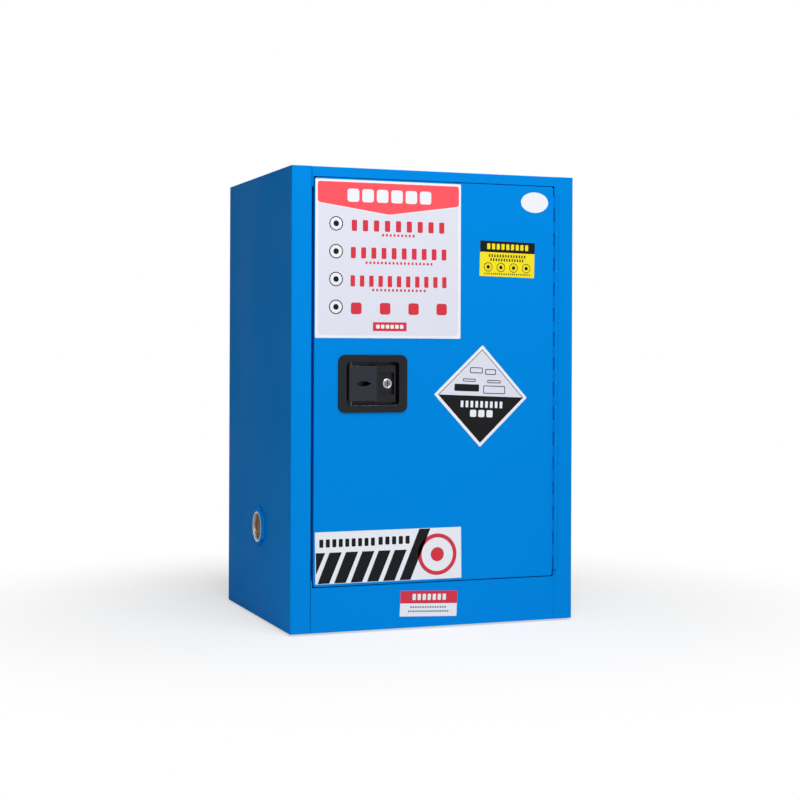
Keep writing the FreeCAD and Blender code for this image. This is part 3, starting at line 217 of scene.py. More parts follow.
def only(thing):
    """Leave nothing selected but this object, which is then the active one."""
    bpy.ops.object.select_all(action="DESELECT")
    thing.select_set(True)
    bpy.context.view_layer.objects.active = thing


def smooth(thing, angle=35):
    """Round the shading over bends and broken edges, and keep the flat faces flat."""
    only(thing)
    bpy.ops.object.shade_smooth_by_angle(angle=math.radians(angle))
    weights = thing.modifiers.new("weights", "WEIGHTED_NORMAL")
    weights.keep_sharp = True
    bpy.ops.object.modifier_apply(modifier="weights")


def dress(thing, node, material):
    """Give a piece its material and the body it rides on, and hide the solid that it stands for."""
    thing.data.materials.clear()
    thing.data.materials.append(material)
    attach(thing, node_body[node])
    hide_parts(node)


def deburred(node, material, wide=0.0003, steps=2, angle=30):
    """A copy of a solid with its cut edges broken, as they are after deburring."""
    thing = bpy.data.objects.new(node + "_finish", parts[node].data.copy())
    bpy.context.scene.collection.objects.link(thing)
    only(thing)
    bpy.ops.object.mode_set(mode="EDIT")
    bpy.ops.mesh.select_all(action="SELECT")
    bpy.ops.mesh.remove_doubles(threshold=WELD_TOGETHER)
    bpy.ops.mesh.dissolve_limited(angle_limit=math.radians(0.4))
    bpy.ops.object.mode_set(mode="OBJECT")
    edge = thing.modifiers.new("edge", "BEVEL")
    edge.width = wide
    edge.segments = steps
    edge.limit_method = "ANGLE"
    edge.angle_limit = math.radians(angle)
    bpy.ops.object.modifier_apply(modifier="edge")
    smooth(thing)
    dress(thing, node, material)
    return thing


blue_powder, tree, shader = surface("blue_powder_coat", CABINET_BLUE, 0.54)
shader.inputs["Specular IOR Level"].default_value = BLUE_SHEEN
bump(tree, shader, grain(tree, PEEL_SCALE, 3), PEEL_STRENGTH, PEEL_DEEP)
vary(tree, shader, "Roughness", grain(tree, 6, 2), 0.50, 0.58)
vary(tree, shader, "Base Color", grain(tree, 1.6, 1), BLUE_THIN, BLUE_FULL)

for node in (
    "side_panel_left", "side_panel_right", "top_panel", "bottom_panel", "back_panel", "plinth_rail",
):
    deburred(node, blue_powder, 0.0004, 3)
deburred("door_stop", blue_powder)

# ---------------------------------------------------------------- liner and sump
# A second skin of the same sheet stands off the carcass by an air gap on three sides and over
# the top. A galvanised pan at its foot, 55 mm deep, holds what is spilt, on two folded bearers.
SPANGLE_SCALE, SPANGLE_SMOOTH, SPANGLE_ROUGH = 90, 0.34, 0.52
galvanised, tree, shader = surface("galvanised_sheet", (0.55, 0.57, 0.59, 1), 0.42, 1.0)
spangle = tree.nodes.new("ShaderNodeTexVoronoi")
spangle.inputs["Scale"].default_value = SPANGLE_SCALE
where = tree.nodes.new("ShaderNodeTexCoord")
tree.links.new(where.outputs["Object"], spangle.inputs["Vector"])
tone = tree.nodes.new("ShaderNodeMapRange")
tone.inputs["To Min"].default_value = SPANGLE_SMOOTH
tone.inputs["To Max"].default_value = SPANGLE_ROUGH
tree.links.new(spangle.outputs["Color"], tone.inputs["Value"])
tree.links.new(tone.outputs["Result"], shader.inputs["Roughness"])

for node in ("liner_left", "liner_right", "liner_back", "liner_top", "sump_bearers"):
    deburred(node, blue_powder, 0.0002, 1)
deburred("sump_tray", galvanised)

# ---------------------------------------------------------------- shelf
# A galvanised tray of a shelf with a raised lip hangs on four bent clips, which hook into the
# punched slots of four channel standards riveted to the liner.
for node in ("shelf", "shelf_standards", "shelf_clips"):
    deburred(node, galvanised)


def pick(thing, faces=None, edges=None):
    """In edit mode, select the faces or the edges that a test of their place lets through."""
    shape = bmesh.from_edit_mesh(thing.data)
    for group in (shape.faces, shape.edges, shape.verts):
        for item in group:
            item.select = False
    for group, test in ((shape.faces, faces), (shape.edges, edges)):
        for item in group if test else ():
            if test(item):
                item.select_set(True)
    bmesh.update_edit_mesh(thing.data)


def settle(thing, name, material, body):
    """Put the object's place into its mesh, name it, and let it ride with its body."""
    only(thing)
    bpy.ops.object.transform_apply(location=True, rotation=True, scale=True)
    thing.name = name
    thing.data.name = name
    thing.data.materials.clear()
    thing.data.materials.append(material)
    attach(thing, body)
    return thing


def copied(thing, name, move, turn=None):
    """Another piece like this one, with a mesh of its own, moved and turned into its place."""
    twin = bpy.data.objects.new(name, thing.data.copy())
    bpy.context.scene.collection.objects.link(twin)
    twin.location = move
    if turn:
        twin.rotation_euler = turn
    return twin


def joined(things):
    """Several pieces made into one."""
    only(things[0])
    for thing in things[1:]:
        thing.select_set(True)
    bpy.ops.object.join()
    return bpy.context.active_object


def rivet(radius, rise):
    """The low domed head of a blind rivet, on the ground plane, with its pulled stem in it."""
    bpy.ops.object.select_all(action="DESELECT")
    bpy.ops.mesh.primitive_cylinder_add(
        vertices=20, radius=radius, depth=rise, location=(0, 0, rise / 2),
    )
    head = bpy.context.active_object
    bpy.ops.object.mode_set(mode="EDIT")
    pick(head, faces=lambda face: face.normal.z > 0.9)
    bpy.ops.mesh.bevel(offset=rise * 0.7, segments=3)
    pick(head, faces=lambda face: face.normal.z > 0.99)
    bpy.ops.mesh.inset(thickness=radius * 0.22, depth=-rise * 0.3)
    bpy.ops.object.mode_set(mode="OBJECT")
    return head


RIVET_AT_X, RIVET_AT_Y, RIVET_AT_Z = 0.2486, (-0.1303, 0.1284), (0.1270, 0.8220)
RIVET_RADIUS, RIVET_RISE = 0.0030, 0.0009
first_rivet = rivet(RIVET_RADIUS, RIVET_RISE)
rivets = []
for side in (-1, 1):
    for deep in RIVET_AT_Y:
        for high in RIVET_AT_Z:
            quarter = (0, -side * math.pi / 2, 0)
            rivets.append(copied(first_rivet, "rivet", (side * RIVET_AT_X, deep, high), quarter))
bpy.data.objects.remove(first_rivet)
settle(joined(rivets), "standard_rivets", galvanised, "cabinet")
smooth(bpy.context.active_object, 40)

# ---------------------------------------------------------------- levelling feet
# Four turned zinc studs run in nuts that are welded to the floor panel. Each carries a moulded
# black nylon pad with a softened rim and a hollow underside, which keeps the steel off the ground.
FOOT_X, FOOT_Y = 0.243, 0.178
PAD_RADIUS, PAD_TALL = 0.018, 0.0037
PAD_SOLE, PAD_SHOULDER = 0.0030, 0.0085
PAD_HOLLOW, PAD_SOCKET, PAD_SLOPE = 0.0008, 0.0006, 0.0006
STUD_RADIUS, STUD_TOP, STUD_PITCH = 0.005, 0.030, 0.0015
THREAD_SHARE = 0.42

zinc_plate, tree, shader = surface("bright_zinc_plate", (0.60, 0.60, 0.58, 1), 0.3, 1.0)
vary(tree, shader, "Roughness", grain(tree, 60, 4), 0.22, 0.42)
vary(tree, shader, "Base Color", grain(tree, 25, 3), (0.56, 0.57, 0.55, 1), (0.68, 0.67, 0.62, 1))
foot_nylon, tree, shader = surface("foot_nylon", (0.03, 0.03, 0.03, 1), 0.55)
bump(tree, shader, grain(tree, 700, 3), 0.2, 0.0002)


def coil(wire, radius, pitch, turns, steps=28, sides=6):
    """A wire wound about the Z axis, from the ground plane up, with both ends closed."""
    bpy.ops.object.select_all(action="DESELECT")
    bpy.ops.mesh.primitive_circle_add(
        vertices=sides, radius=wire, location=(radius, 0, 0), rotation=(math.pi / 2, 0, 0),
    )
    thing = bpy.context.active_object
    bpy.ops.object.transform_apply(location=True, rotation=True, scale=True)
    wind = thing.modifiers.new("wind", "SCREW")
    wind.axis = "Z"
    wind.screw_offset = pitch
    wind.iterations = turns
    wind.steps = wind.render_steps = steps
    bpy.ops.object.modifier_apply(modifier="wind")
    bpy.ops.object.mode_set(mode="EDIT")
    bpy.ops.mesh.select_all(action="SELECT")
    bpy.ops.mesh.remove_doubles(threshold=0.000001)
    bpy.ops.mesh.fill_holes(sides=sides)
    bpy.ops.mesh.select_all(action="SELECT")
    bpy.ops.mesh.normals_make_consistent(inside=False)
    bpy.ops.object.mode_set(mode="OBJECT")
    return thing


def threaded(radius, long, pitch):
    """A threaded stud that stands on the ground plane: its core, and the crest wound round it."""
    crest = pitch * THREAD_SHARE
    bpy.ops.object.select_all(action="DESELECT")
    bpy.ops.mesh.primitive_cylinder_add(
        vertices=28, radius=radius - crest, depth=long, location=(0, 0, long / 2),
    )
    core = bpy.context.active_object
    bpy.ops.object.transform_apply(location=True, rotation=True, scale=True)
    bpy.ops.object.mode_set(mode="EDIT")
    pick(core, faces=lambda face: face.normal.z > 0.9)
    bpy.ops.mesh.bevel(offset=crest, segments=2)
    bpy.ops.object.mode_set(mode="OBJECT")
    turns = int((long - 2 * crest) / pitch)
    winding = coil(crest, radius - crest, pitch, turns)
    winding.location = (0, 0, long - crest * 1.5 - turns * pitch)
    return joined([core, winding])


bpy.ops.object.select_all(action="DESELECT")
bpy.ops.mesh.primitive_cylinder_add(
    vertices=56, radius=PAD_RADIUS, depth=PAD_TALL, location=(0, 0, PAD_TALL / 2),
)
first_pad = bpy.context.active_object
bpy.ops.object.transform_apply(location=True, rotation=True, scale=True)
bpy.ops.object.mode_set(mode="EDIT")
pick(first_pad, faces=lambda face: face.normal.z < -0.9)
bpy.ops.mesh.bevel(offset=0.0004, segments=2)
pick(first_pad, faces=lambda face: face.normal.z < -0.99)
bpy.ops.mesh.inset(thickness=PAD_SOLE)
bpy.ops.mesh.inset(thickness=PAD_SLOPE, depth=-PAD_HOLLOW)
pick(first_pad, faces=lambda face: face.normal.z > 0.9)
bpy.ops.mesh.bevel(offset=0.0012, segments=4)
pick(first_pad, faces=lambda face: face.normal.z > 0.99)
bpy.ops.mesh.inset(thickness=PAD_SHOULDER)
bpy.ops.mesh.inset(thickness=PAD_SLOPE, depth=-PAD_SOCKET)
bpy.ops.object.mode_set(mode="OBJECT")
first_stud = threaded(STUD_RADIUS, STUD_TOP - PAD_TALL + PAD_SOCKET, STUD_PITCH)

for node, across, deep in (
    ("foot_front_left", -FOOT_X, -FOOT_Y), ("foot_front_right", FOOT_X, -FOOT_Y),
    ("foot_back_left", -FOOT_X, FOOT_Y), ("foot_back_right", FOOT_X, FOOT_Y),
):
    pad = copied(first_pad, node, (across, deep, 0))
    settle(pad, node + "_pad", foot_nylon, node)
    smooth(pad)
    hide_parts(node)
    stud = copied(first_stud, node, (across, deep, PAD_TALL - PAD_SOCKET))
    smooth(settle(stud, node + "_stud", zinc_plate, node))
bpy.data.objects.remove(first_pad)
bpy.data.objects.remove(first_stud)
deburred("foot_nuts", zinc_plate, 0.0006, 2)

# ---------------------------------------------------------------- door
# Two pressed skins of the same sheet, the outer one folded round the edges, are spot-welded
# over two hat-section stiffeners, and the whole door is sprayed with the carcass.
for node in ("door_outer_skin", "door_inner_skin"):
    deburred(node, blue_powder, 0.0004, 3)
deburred("door_stiffeners", blue_powder, 0.0002, 1)

# ---------------------------------------------------------------- piano hinge
# A long pin runs through knuckles that are rolled in turn from two strips of sheet, one
# riveted to the edge of the door and one to the jamb, and all of it is sprayed with the shell.
HINGE_X, HINGE_Y = 0.25668, -0.23388
LEAF = 0.0012
KNUCKLE_RADIUS = 0.00340
ROLL_RADIUS = KNUCKLE_RADIUS - LEAF / 2
ROLL_TURN, ROLL_STEPS = -316, 22
HINGE_LOW, HINGE_HIGH = 0.1044, 0.8506
KNUCKLES = 30
KNUCKLE_AIR = 0.00035
KNUCKLE_PITCH = (HINGE_HIGH - HINGE_LOW) / KNUCKLES
KNUCKLE_TALL = KNUCKLE_PITCH - KNUCKLE_AIR
TANGENT_X = HINGE_X - ROLL_RADIUS
LEAF_FRONT, LEAF_REAR = -0.2297, -0.2020
JAMB_LEAF_X, DOOR_LEAF_X = 0.2540, 0.2517


def leaf_with_knuckles(name, node, leaf_x, first):
    """One leaf: a flat strip, and its share of the knuckles rolled round the pin."""
    root = Vector((leaf_x, LEAF_FRONT, 0))
    tip = Vector((TANGENT_X, HINGE_Y, 0))
    run = tip - root
    bpy.ops.object.select_all(action="DESELECT")
    bpy.ops.mesh.primitive_plane_add(size=1)
    sheet = bpy.context.active_object
    side = run.normalized().cross(Vector((0, 0, 1)))
    middle = (root + tip) / 2 + Vector((0, 0, HINGE_LOW + KNUCKLE_PITCH * (first + 0.5)))
    axes = Matrix((run, Vector((0, 0, KNUCKLE_TALL)), side)).transposed().to_4x4()
    sheet.data.transform(Matrix.Translation(middle) @ axes)
    bpy.ops.object.mode_set(mode="EDIT")
    pick(sheet, edges=lambda edge: all((v.co.xy - tip.xy).length < 1e-5 for v in edge.verts))
    bpy.ops.mesh.spin(
        steps=ROLL_STEPS, dupli=False, angle=math.radians(ROLL_TURN),
        center=(HINGE_X, HINGE_Y, 0), axis=(0, 0, 1),
    )
    bpy.ops.mesh.select_all(action="SELECT")
    bpy.ops.mesh.remove_doubles(threshold=1e-6)
    bpy.ops.mesh.normals_make_consistent(inside=False)
    bpy.ops.object.mode_set(mode="OBJECT")
    wall = sheet.modifiers.new("wall", "SOLIDIFY")
    wall.thickness = LEAF
    wall.offset = 0
    bpy.ops.object.modifier_apply(modifier="wall")
    row = sheet.modifiers.new("row", "ARRAY")
    row.use_relative_offset = False
    row.use_constant_offset = True
    row.constant_offset_displace = (0, 0, 2 * KNUCKLE_PITCH)
    row.count = KNUCKLES // 2
    bpy.ops.object.modifier_apply(modifier="row")
    bpy.ops.object.select_all(action="DESELECT")
    bpy.ops.mesh.primitive_cube_add(size=1)
    strip = bpy.context.active_object
    tall, deep = HINGE_HIGH - HINGE_LOW, LEAF_REAR - LEAF_FRONT
    middle = (leaf_x, (LEAF_REAR + LEAF_FRONT) / 2, (HINGE_HIGH + HINGE_LOW) / 2)
    strip.data.transform(Matrix.Translation(middle) @ Matrix.Diagonal((LEAF, deep, tall, 1)))
    edge = strip.modifiers.new("edge", "BEVEL")
    edge.width = 0.0002
    bpy.ops.object.modifier_apply(modifier="edge")
    leaf = joined([strip, sheet])
    settle(leaf, name, blue_powder, node_body[node])
    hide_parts(node)
    smooth(leaf, 40)


leaf_with_knuckles("hinge_leaf_on_jamb", "hinge_leaf_frame", JAMB_LEAF_X, 0)
leaf_with_knuckles("hinge_leaf_on_door", "hinge_leaf_door", DOOR_LEAF_X, 1)
deburred("hinge_pin", zinc_plate, 0.0006, 3)

# ---------------------------------------------------------------- vents
# A hexagon with a bright chamfered mouth is screwed on a two-inch pipe that passes both walls,
# with a lock nut inside. A woven brass screen and a flame arrester close it behind the thread.
VENT_Y, VENT_LOW, VENT_HIGH = -0.015, 0.186, 0.708
VENT_MOUTH = 0.301
VENT_BORE = 0.02815
THREAD_WIRE, THREAD_PITCH, THREAD_TURNS, THREAD_DEEP = 0.0006, 0.0018, 2, 0.0047
SCREEN_DEEP = 0.0048
SCREEN_WIRE = 0.00035
SCREEN_PITCH = 0.0030
SCREEN_RADIUS = 0.0276

brass, tree, shader = surface("arrester_brass", (0.34, 0.20, 0.07, 1), 0.3, 1.0)
vary(tree, shader, "Roughness", grain(tree, 150, 3), 0.2, 0.42)
BRASS_DARK, BRASS_BRIGHT = (0.03, 0.012, 0.004, 1), (0.52, 0.33, 0.11, 1)
vary(tree, shader, "Base Color", grain(tree, 110, 3), BRASS_DARK, BRASS_BRIGHT)
for side, sign, height in (("left", -1, VENT_LOW), ("right", 1, VENT_HIGH)):
    deburred("vent_hexagon_" + side, blue_powder, 0.0010, 3)
    deburred("vent_nipple_" + side, zinc_plate, 0.0006, 3)
    deburred("vent_lock_nut_" + side, zinc_plate, 0.0008, 2)
    deburred("flame_arrester_" + side, brass, 0.0004, 2)
    outward = (0, sign * math.pi / 2, 0)
    thread = coil(THREAD_WIRE, VENT_BORE, THREAD_PITCH, THREAD_TURNS, 56)
    thread.location = (sign * (VENT_MOUTH - THREAD_DEEP), VENT_Y, height)
    thread.rotation_euler = outward
    smooth(settle(thread, "vent_thread_" + side, zinc_plate, "cabinet"), 60)

    bpy.ops.object.select_all(action="DESELECT")
    bpy.ops.mesh.primitive_cylinder_add(vertices=6, radius=SCREEN_WIRE, depth=1)
    first_wire = bpy.context.active_object
    wires = []
    half_count = int(SCREEN_RADIUS / SCREEN_PITCH)
    for number in range(-half_count, half_count + 1):
        off = number * SCREEN_PITCH
        chord = 2 * math.sqrt(SCREEN_RADIUS ** 2 - off ** 2)
        for level_wire in (False, True):
            sink = SCREEN_DEEP - SCREEN_WIRE * (1 if level_wire else -1)
            across, upward = off * (not level_wire), off * level_wire
            spot = (sign * (VENT_MOUTH - sink), VENT_Y + across, height + upward)
            wire = copied(first_wire, "wire", spot, (math.pi / 2 * level_wire, 0, 0))
            wire.scale = (1, 1, chord)
            wires.append(wire)
    bpy.data.objects.remove(first_wire)
    only(wires[0])
    for wire in wires:
        wire.select_set(True)
    bpy.ops.object.transform_apply(location=True, rotation=True, scale=True)
    smooth(settle(joined(wires), "vent_screen_" + side, brass, "cabinet"), 70)

# ---------------------------------------------------------------- earthing stud
# A threaded zinc stud low on the right side takes an earth wire under its washer and nut. A
# second nut behind the sheet holds it.
EARTH_Y, EARTH_Z = 0.170, 0.090
SIDE_FACE, SIDE_SHEET = 0.295, 0.0012
WASHER_RADIUS, WASHER_TALL, WASHER_EDGE = 0.008, 0.0016, 0.0003
EARTH_NUT_HALF, EARTH_NUT_TALL, EARTH_NUT_EDGE = 0.0065, 0.006, 0.0005
EARTH_RADIUS, EARTH_LONG, EARTH_PITCH = 0.004, 0.016, 0.00125


def turned_disc(sides, radius, low, tall, soften):
    """A washer or nut about the Z axis with its outer rims softened."""
    bpy.ops.object.select_all(action="DESELECT")
    bpy.ops.mesh.primitive_cylinder_add(
        vertices=sides, radius=radius, depth=tall, location=(0, 0, low + tall / 2),
    )
    thing = bpy.context.active_object
    bpy.ops.object.transform_apply(location=True, rotation=True, scale=True)
    bpy.ops.object.mode_set(mode="EDIT")
    pick(thing, faces=lambda face: abs(face.normal.z) > 0.9)
    bpy.ops.mesh.bevel(offset=soften, segments=2)
    bpy.ops.object.mode_set(mode="OBJECT")
    return thing


nut_point = EARTH_NUT_HALF / math.cos(math.pi / 6)
earth = joined([
    turned_disc(40, WASHER_RADIUS, 0, WASHER_TALL, WASHER_EDGE),
    turned_disc(6, nut_point, WASHER_TALL, EARTH_NUT_TALL, EARTH_NUT_EDGE),
    turned_disc(6, nut_point, -SIDE_SHEET - EARTH_NUT_TALL, EARTH_NUT_TALL, EARTH_NUT_EDGE),
    threaded(EARTH_RADIUS, EARTH_LONG, EARTH_PITCH),
])
earth.location = (SIDE_FACE, EARTH_Y, EARTH_Z)
earth.rotation_euler = (0, math.pi / 2, 0)
settle(earth, "earthing_stud_finish", zinc_plate, "cabinet")
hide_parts("earthing_stud")
smooth(earth)

# ---------------------------------------------------------------- paddle latch
# A black moulded tray is clamped in the door's cut-out. Its paddle turns on a steel pin at the
# left, is held shut by a wound spring, and has a lens-shaped padlock slot and a cup for the lock.
black_latch, tree, shader = surface("black_latch_moulding", (0.005, 0.006, 0.010, 1), 0.25)
shader.inputs["Specular IOR Level"].default_value = 0.25
bump(tree, shader, grain(tree, 900, 3), 0.10, 0.0002)
vary(tree, shader, "Roughness", grain(tree, 40, 3), 0.20, 0.30)
# Painted sheen: the raised front of the paddle gets a lighter copy of the black moulding, standing
# in for the reflection it catches.
painted_sheen_face, tree, shader = surface("paddle_face_painted_sheen", (0.020, 0.021, 0.030, 1), 0.36)
shader.inputs["Specular IOR Level"].default_value = 0.2
bump(tree, shader, grain(tree, 900, 3), 0.12, 0.0002)
vary(tree, shader, "Roughness", grain(tree, 60, 3), 0.30, 0.42)
# Painted highlight: a bright metal grey is laid on the front bevels of the pan's lower lip and the
# paddle's top and bottom edges, where highlights fall.
painted_highlight_edge, tree, shader = surface("latch_edge_painted_highlight", (0.42, 0.43, 0.47, 1), 0.28, 1.0)
vary(tree, shader, "Roughness", grain(tree, 300, 3), 0.22, 0.40)
LATCH_Z, PAN_LOW, PADDLE_EDGE = 0.4769, 0.4351, 0.03
HIGHLIGHT_FRONT, HIGHLIGHT_SLOPE_LEAST, HIGHLIGHT_SLOPE_MOST = -0.2305, 0.25, 0.9
RAISED_FACE, RAISED_RIGHT = -0.2315, -0.1240
LOWER_FACE = -0.2262
tray = deburred("latch_tray", black_latch, 0.0020, 5)
tray.data.materials.append(painted_highlight_edge)
# The pan's front lower lip, where its bevel slopes upward, takes the painted highlight.
for face in tray.data.polygons:
    lip = face.center.z < PAN_LOW and face.center.y < HIGHLIGHT_FRONT
    if lip and HIGHLIGHT_SLOPE_LEAST < face.normal.z < HIGHLIGHT_SLOPE_MOST:
        face.material_index = 1
handle = deburred("paddle", black_latch, 0.0013, 4)
handle.data.materials.append(painted_sheen_face)
handle.data.materials.append(painted_highlight_edge)
# Away from the middle, the raised plate's upward front bevels and the lower plate's downward front
# bevels take the painted highlight.
for face in handle.data.polygons:
    raised = face.center.x < RAISED_RIGHT
    in_front = face.center.y < (HIGHLIGHT_FRONT if raised else LOWER_FACE)
    sloping = HIGHLIGHT_SLOPE_LEAST < (face.normal.z if raised else -face.normal.z) < HIGHLIGHT_SLOPE_MOST
    if in_front and sloping and abs(face.center.z - LATCH_Z) > PADDLE_EDGE:
        face.material_index = 2
    # The raised plate's front faces take the painted sheen.
    elif face.center.y < RAISED_FACE and raised:
        face.material_index = 1

PIVOT_X, PIVOT_Y = -0.1746, -0.2260
WIRE_RADIUS = 0.0006
COIL_RADIUS, COIL_TURNS = 0.00265, 4
COIL_LOW, COIL_HIGH = 0.5107, 0.5167
ARM_Y, ARM_ROOT, ARM_TIP, ARM_DROP = -0.2284, 0.0017, 0.0134, 0.0049
TAIL_END = -0.2102
spring_steel, tree, shader = surface("blackened_spring_steel", (0.10, 0.10, 0.11, 1), 0.35, 1.0)
vary(tree, shader, "Roughness", grain(tree, 300, 3), 0.3, 0.5)
deburred("pivot_pin", spring_steel, 0.0005, 2)


def rod_between(start, end, radius, sides=8):
    """A straight round bar from one point to another, its rims softened."""
    run = Vector(end) - Vector(start)
    bpy.ops.object.select_all(action="DESELECT")
    bpy.ops.mesh.primitive_cylinder_add(vertices=sides, radius=radius, depth=run.length)
    bar = bpy.context.active_object
    bpy.ops.object.mode_set(mode="EDIT")
    pick(bar, faces=lambda face: abs(face.normal.z) > 0.9)
    bpy.ops.mesh.bevel(offset=radius * 0.4, segments=2)
    bpy.ops.object.mode_set(mode="OBJECT")
    aim = run.to_track_quat("Z", "Y").to_matrix().to_4x4()
    bar.matrix_world = Matrix.Translation(Vector(start) + run / 2) @ aim
    only(bar)
    bpy.ops.object.transform_apply(location=True, rotation=True, scale=True)
    return bar


coil_rise = (COIL_HIGH - COIL_LOW - 2 * WIRE_RADIUS) / COIL_TURNS
arm_z = COIL_LOW + WIRE_RADIUS
tail_x, tail_z = PIVOT_X + COIL_RADIUS, COIL_HIGH - WIRE_RADIUS
root = (PIVOT_X + ARM_ROOT, ARM_Y, arm_z)
bend = (PIVOT_X + ARM_TIP, ARM_Y, arm_z)
hook = (PIVOT_X + ARM_TIP, ARM_Y, COIL_LOW - ARM_DROP)
wound = coil(WIRE_RADIUS, COIL_RADIUS, coil_rise, COIL_TURNS, 24, 8)
wound.location = (PIVOT_X, PIVOT_Y, arm_z)
spring = joined([
    wound,
    rod_between(root, bend, WIRE_RADIUS),
    rod_between(bend, hook, WIRE_RADIUS),
    rod_between((tail_x, PIVOT_Y, tail_z), (tail_x, TAIL_END, tail_z), WIRE_RADIUS),
])
settle(
    spring, "paddle_spring_wound", spring_steel,
    node_body["paddle_spring"],
)
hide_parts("paddle_spring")
smooth(spring, 60)

# ---------------------------------------------------------------- key lock
# A chromed cylinder lock with a turned rim sits in the paddle's cup. Its plug has a key slot in
# front and a flat cam behind, which stops the paddle when it is turned.
chrome, tree, shader = surface("lock_chrome", (0.52, 0.52, 0.54, 1), 0.14, 1.0)
vary(tree, shader, "Roughness", grain(tree, 200, 3), 0.09, 0.22)
nickel, tree, shader = surface("lock_plug_nickel", (0.20, 0.20, 0.20, 1), 0.30, 1.0)
vary(tree, shader, "Roughness", grain(tree, 400, 3), 0.24, 0.40)
deburred("lock_body", chrome, 0.0008, 4)
deburred("lock_plug", nickel, 0.0005, 3)
deburred("lock_cam", zinc_plate, 0.0003, 2)

LOCK_X, LOCK_Z, LOCK_FACE = -0.0986, 0.4769, -0.2230
BEAD_RADIUS, BEAD_WIRE = 0.0083, 0.0005
bpy.ops.object.select_all(action="DESELECT")
bpy.ops.mesh.primitive_torus_add(
    major_radius=BEAD_RADIUS, minor_radius=BEAD_WIRE, major_segments=48, minor_segments=8,
    location=(LOCK_X, LOCK_FACE, LOCK_Z), rotation=(math.pi / 2, 0, 0),
)
rim_bead = settle(bpy.context.active_object, "lock_rim_bead", chrome, "paddle")
smooth(rim_bead, 60)

# ---------------------------------------------------------------- three-point latch
# Behind the tray a zinc-plated plate on four hexagonal posts carries the cam that the paddle's
# tail turns, which draws in the flat centre bolt and the round rods above and below.
for node in (
    "centre_bolt", "top_rod", "bottom_rod", "rod_cam", "rod_guides", "latch_housing",
    "housing_posts", "tray_clamps", "bolt_strike", "rod_strikes",
):
    deburred(node, zinc_plate, 0.0003, 2)
deburred("latch_screws", zinc_plate, 0.0004, 3)

# ---------------------------------------------------------------- large sheet
# White vinyl rubbed down by hand: a red header whose lower edge comes down to a soft point, and
# a pale panel in a thin line with four rows of small plain blocks and a red block at the foot.
DOOR_FACE, FACE_LEFT = -0.230, -0.295
VINYL, INK = 0.00022, 0.00004
VINYL_SHEEN = 0.1


def vinyl(name, colour):
    """Cut vinyl, or the ink on it: low in sheen, and not quite flat on the sheet."""
    material, tree, shader = surface(name, colour, 0.32)
    shader.inputs["Specular IOR Level"].default_value = VINYL_SHEEN
    bump(tree, shader, grain(tree, 60, 2), 0.05, 0.0003)
    vary(tree, shader, "Roughness", grain(tree, 30, 2), 0.28, 0.38)
    return material


white_vinyl = vinyl("white_vinyl", (0.80, 0.82, 0.86, 1))
panel_vinyl = vinyl("pale_panel_ink", (0.70, 0.71, 0.80, 1))
border_ink = vinyl("pale_border_ink", (0.86, 0.74, 0.78, 1))
red_ink = vinyl("red_ink", (0.64, 0.038, 0.062, 1))
header_ink = vinyl("bright_red_ink", (0.93, 0.092, 0.115, 1))
black_ink = vinyl("black_ink", (0.009, 0.009, 0.011, 1))


def on_door(x, z, level):
    """A place on the front, from its distance along the face, its height and the layers below."""
    return Vector((FACE_LEFT + x, DOOR_FACE - level, z))


def cut_vinyl(name, outline, material, body="door", layer=0, round_by=0.0, row=None):
    """A piece of vinyl, or a layer of ink on it: a plate drawn out corner by corner, then raised.

    A row gives how many pieces stand side by side and the step from one to the next.
    """
    low = VINYL + INK * (layer - 1) if layer else 0.0
    bpy.ops.object.select_all(action="DESELECT")
    bpy.ops.mesh.primitive_circle_add(vertices=len(outline), radius=0.001, fill_type="NGON")
    thing = bpy.context.active_object
    bpy.ops.object.mode_set(mode="EDIT")
    shape = bmesh.from_edit_mesh(thing.data)
    for corner, (x, z) in zip(shape.verts, outline):
        corner.co = on_door(x, z, low)
    bmesh.update_edit_mesh(thing.data)
    if round_by:
        bpy.ops.mesh.select_all(action="SELECT")
        bpy.ops.mesh.bevel(offset=round_by, segments=6, affect="VERTICES", profile=0.5)
    rise = (0, -INK if layer else -VINYL, 0)
    bpy.ops.mesh.select_all(action="SELECT")
    bpy.ops.mesh.extrude_region_move(TRANSFORM_OT_translate={"value": rise})
    bpy.ops.mesh.select_all(action="SELECT")
    bpy.ops.mesh.normals_make_consistent(inside=False)
    bpy.ops.object.mode_set(mode="OBJECT")
    if row:
        count, (along, up) = row
        repeat = thing.modifiers.new("row", "ARRAY")
        repeat.use_relative_offset = False
        repeat.use_constant_offset = True
        repeat.constant_offset_displace = (along, 0, up)
        repeat.count = count
        bpy.ops.object.modifier_apply(modifier="row")
    return settle(thing, name, material, body)


def turned(point, tilt, about):
    """A point turned clockwise by some degrees about another."""
    across, up = point[0] - about[0], point[1] - about[1]
    c, s = math.cos(math.radians(tilt)), math.sin(math.radians(tilt))
    return about[0] + across * c + up * s, about[1] - across * s + up * c


def block(x, z, wide, tall, tilt=0.0, about=(0, 0)):
    """The four corners of an upright block, turned about a point."""
    corners = [(x, z), (x + wide, z), (x + wide, z + tall), (x, z + tall)]
    return [turned(corner, tilt, about) for corner in corners]


def blocks(
    name, left, middle_z, wide, tall, count, ink, layer, fill=0.62, tilt=0.0, about=(0, 0),
    body="door",
):
    """A row of small plain blocks with the weight of a printed line."""
    pitch = wide / (count - (1 - fill))
    first = block(left, middle_z - tall / 2, pitch * fill, tall, tilt, about)
    step = turned((pitch, 0), tilt, (0, 0))
    corner = min(pitch * fill, tall) * 0.22
    cut_vinyl(name, first, ink, body, layer, corner, (count, step))


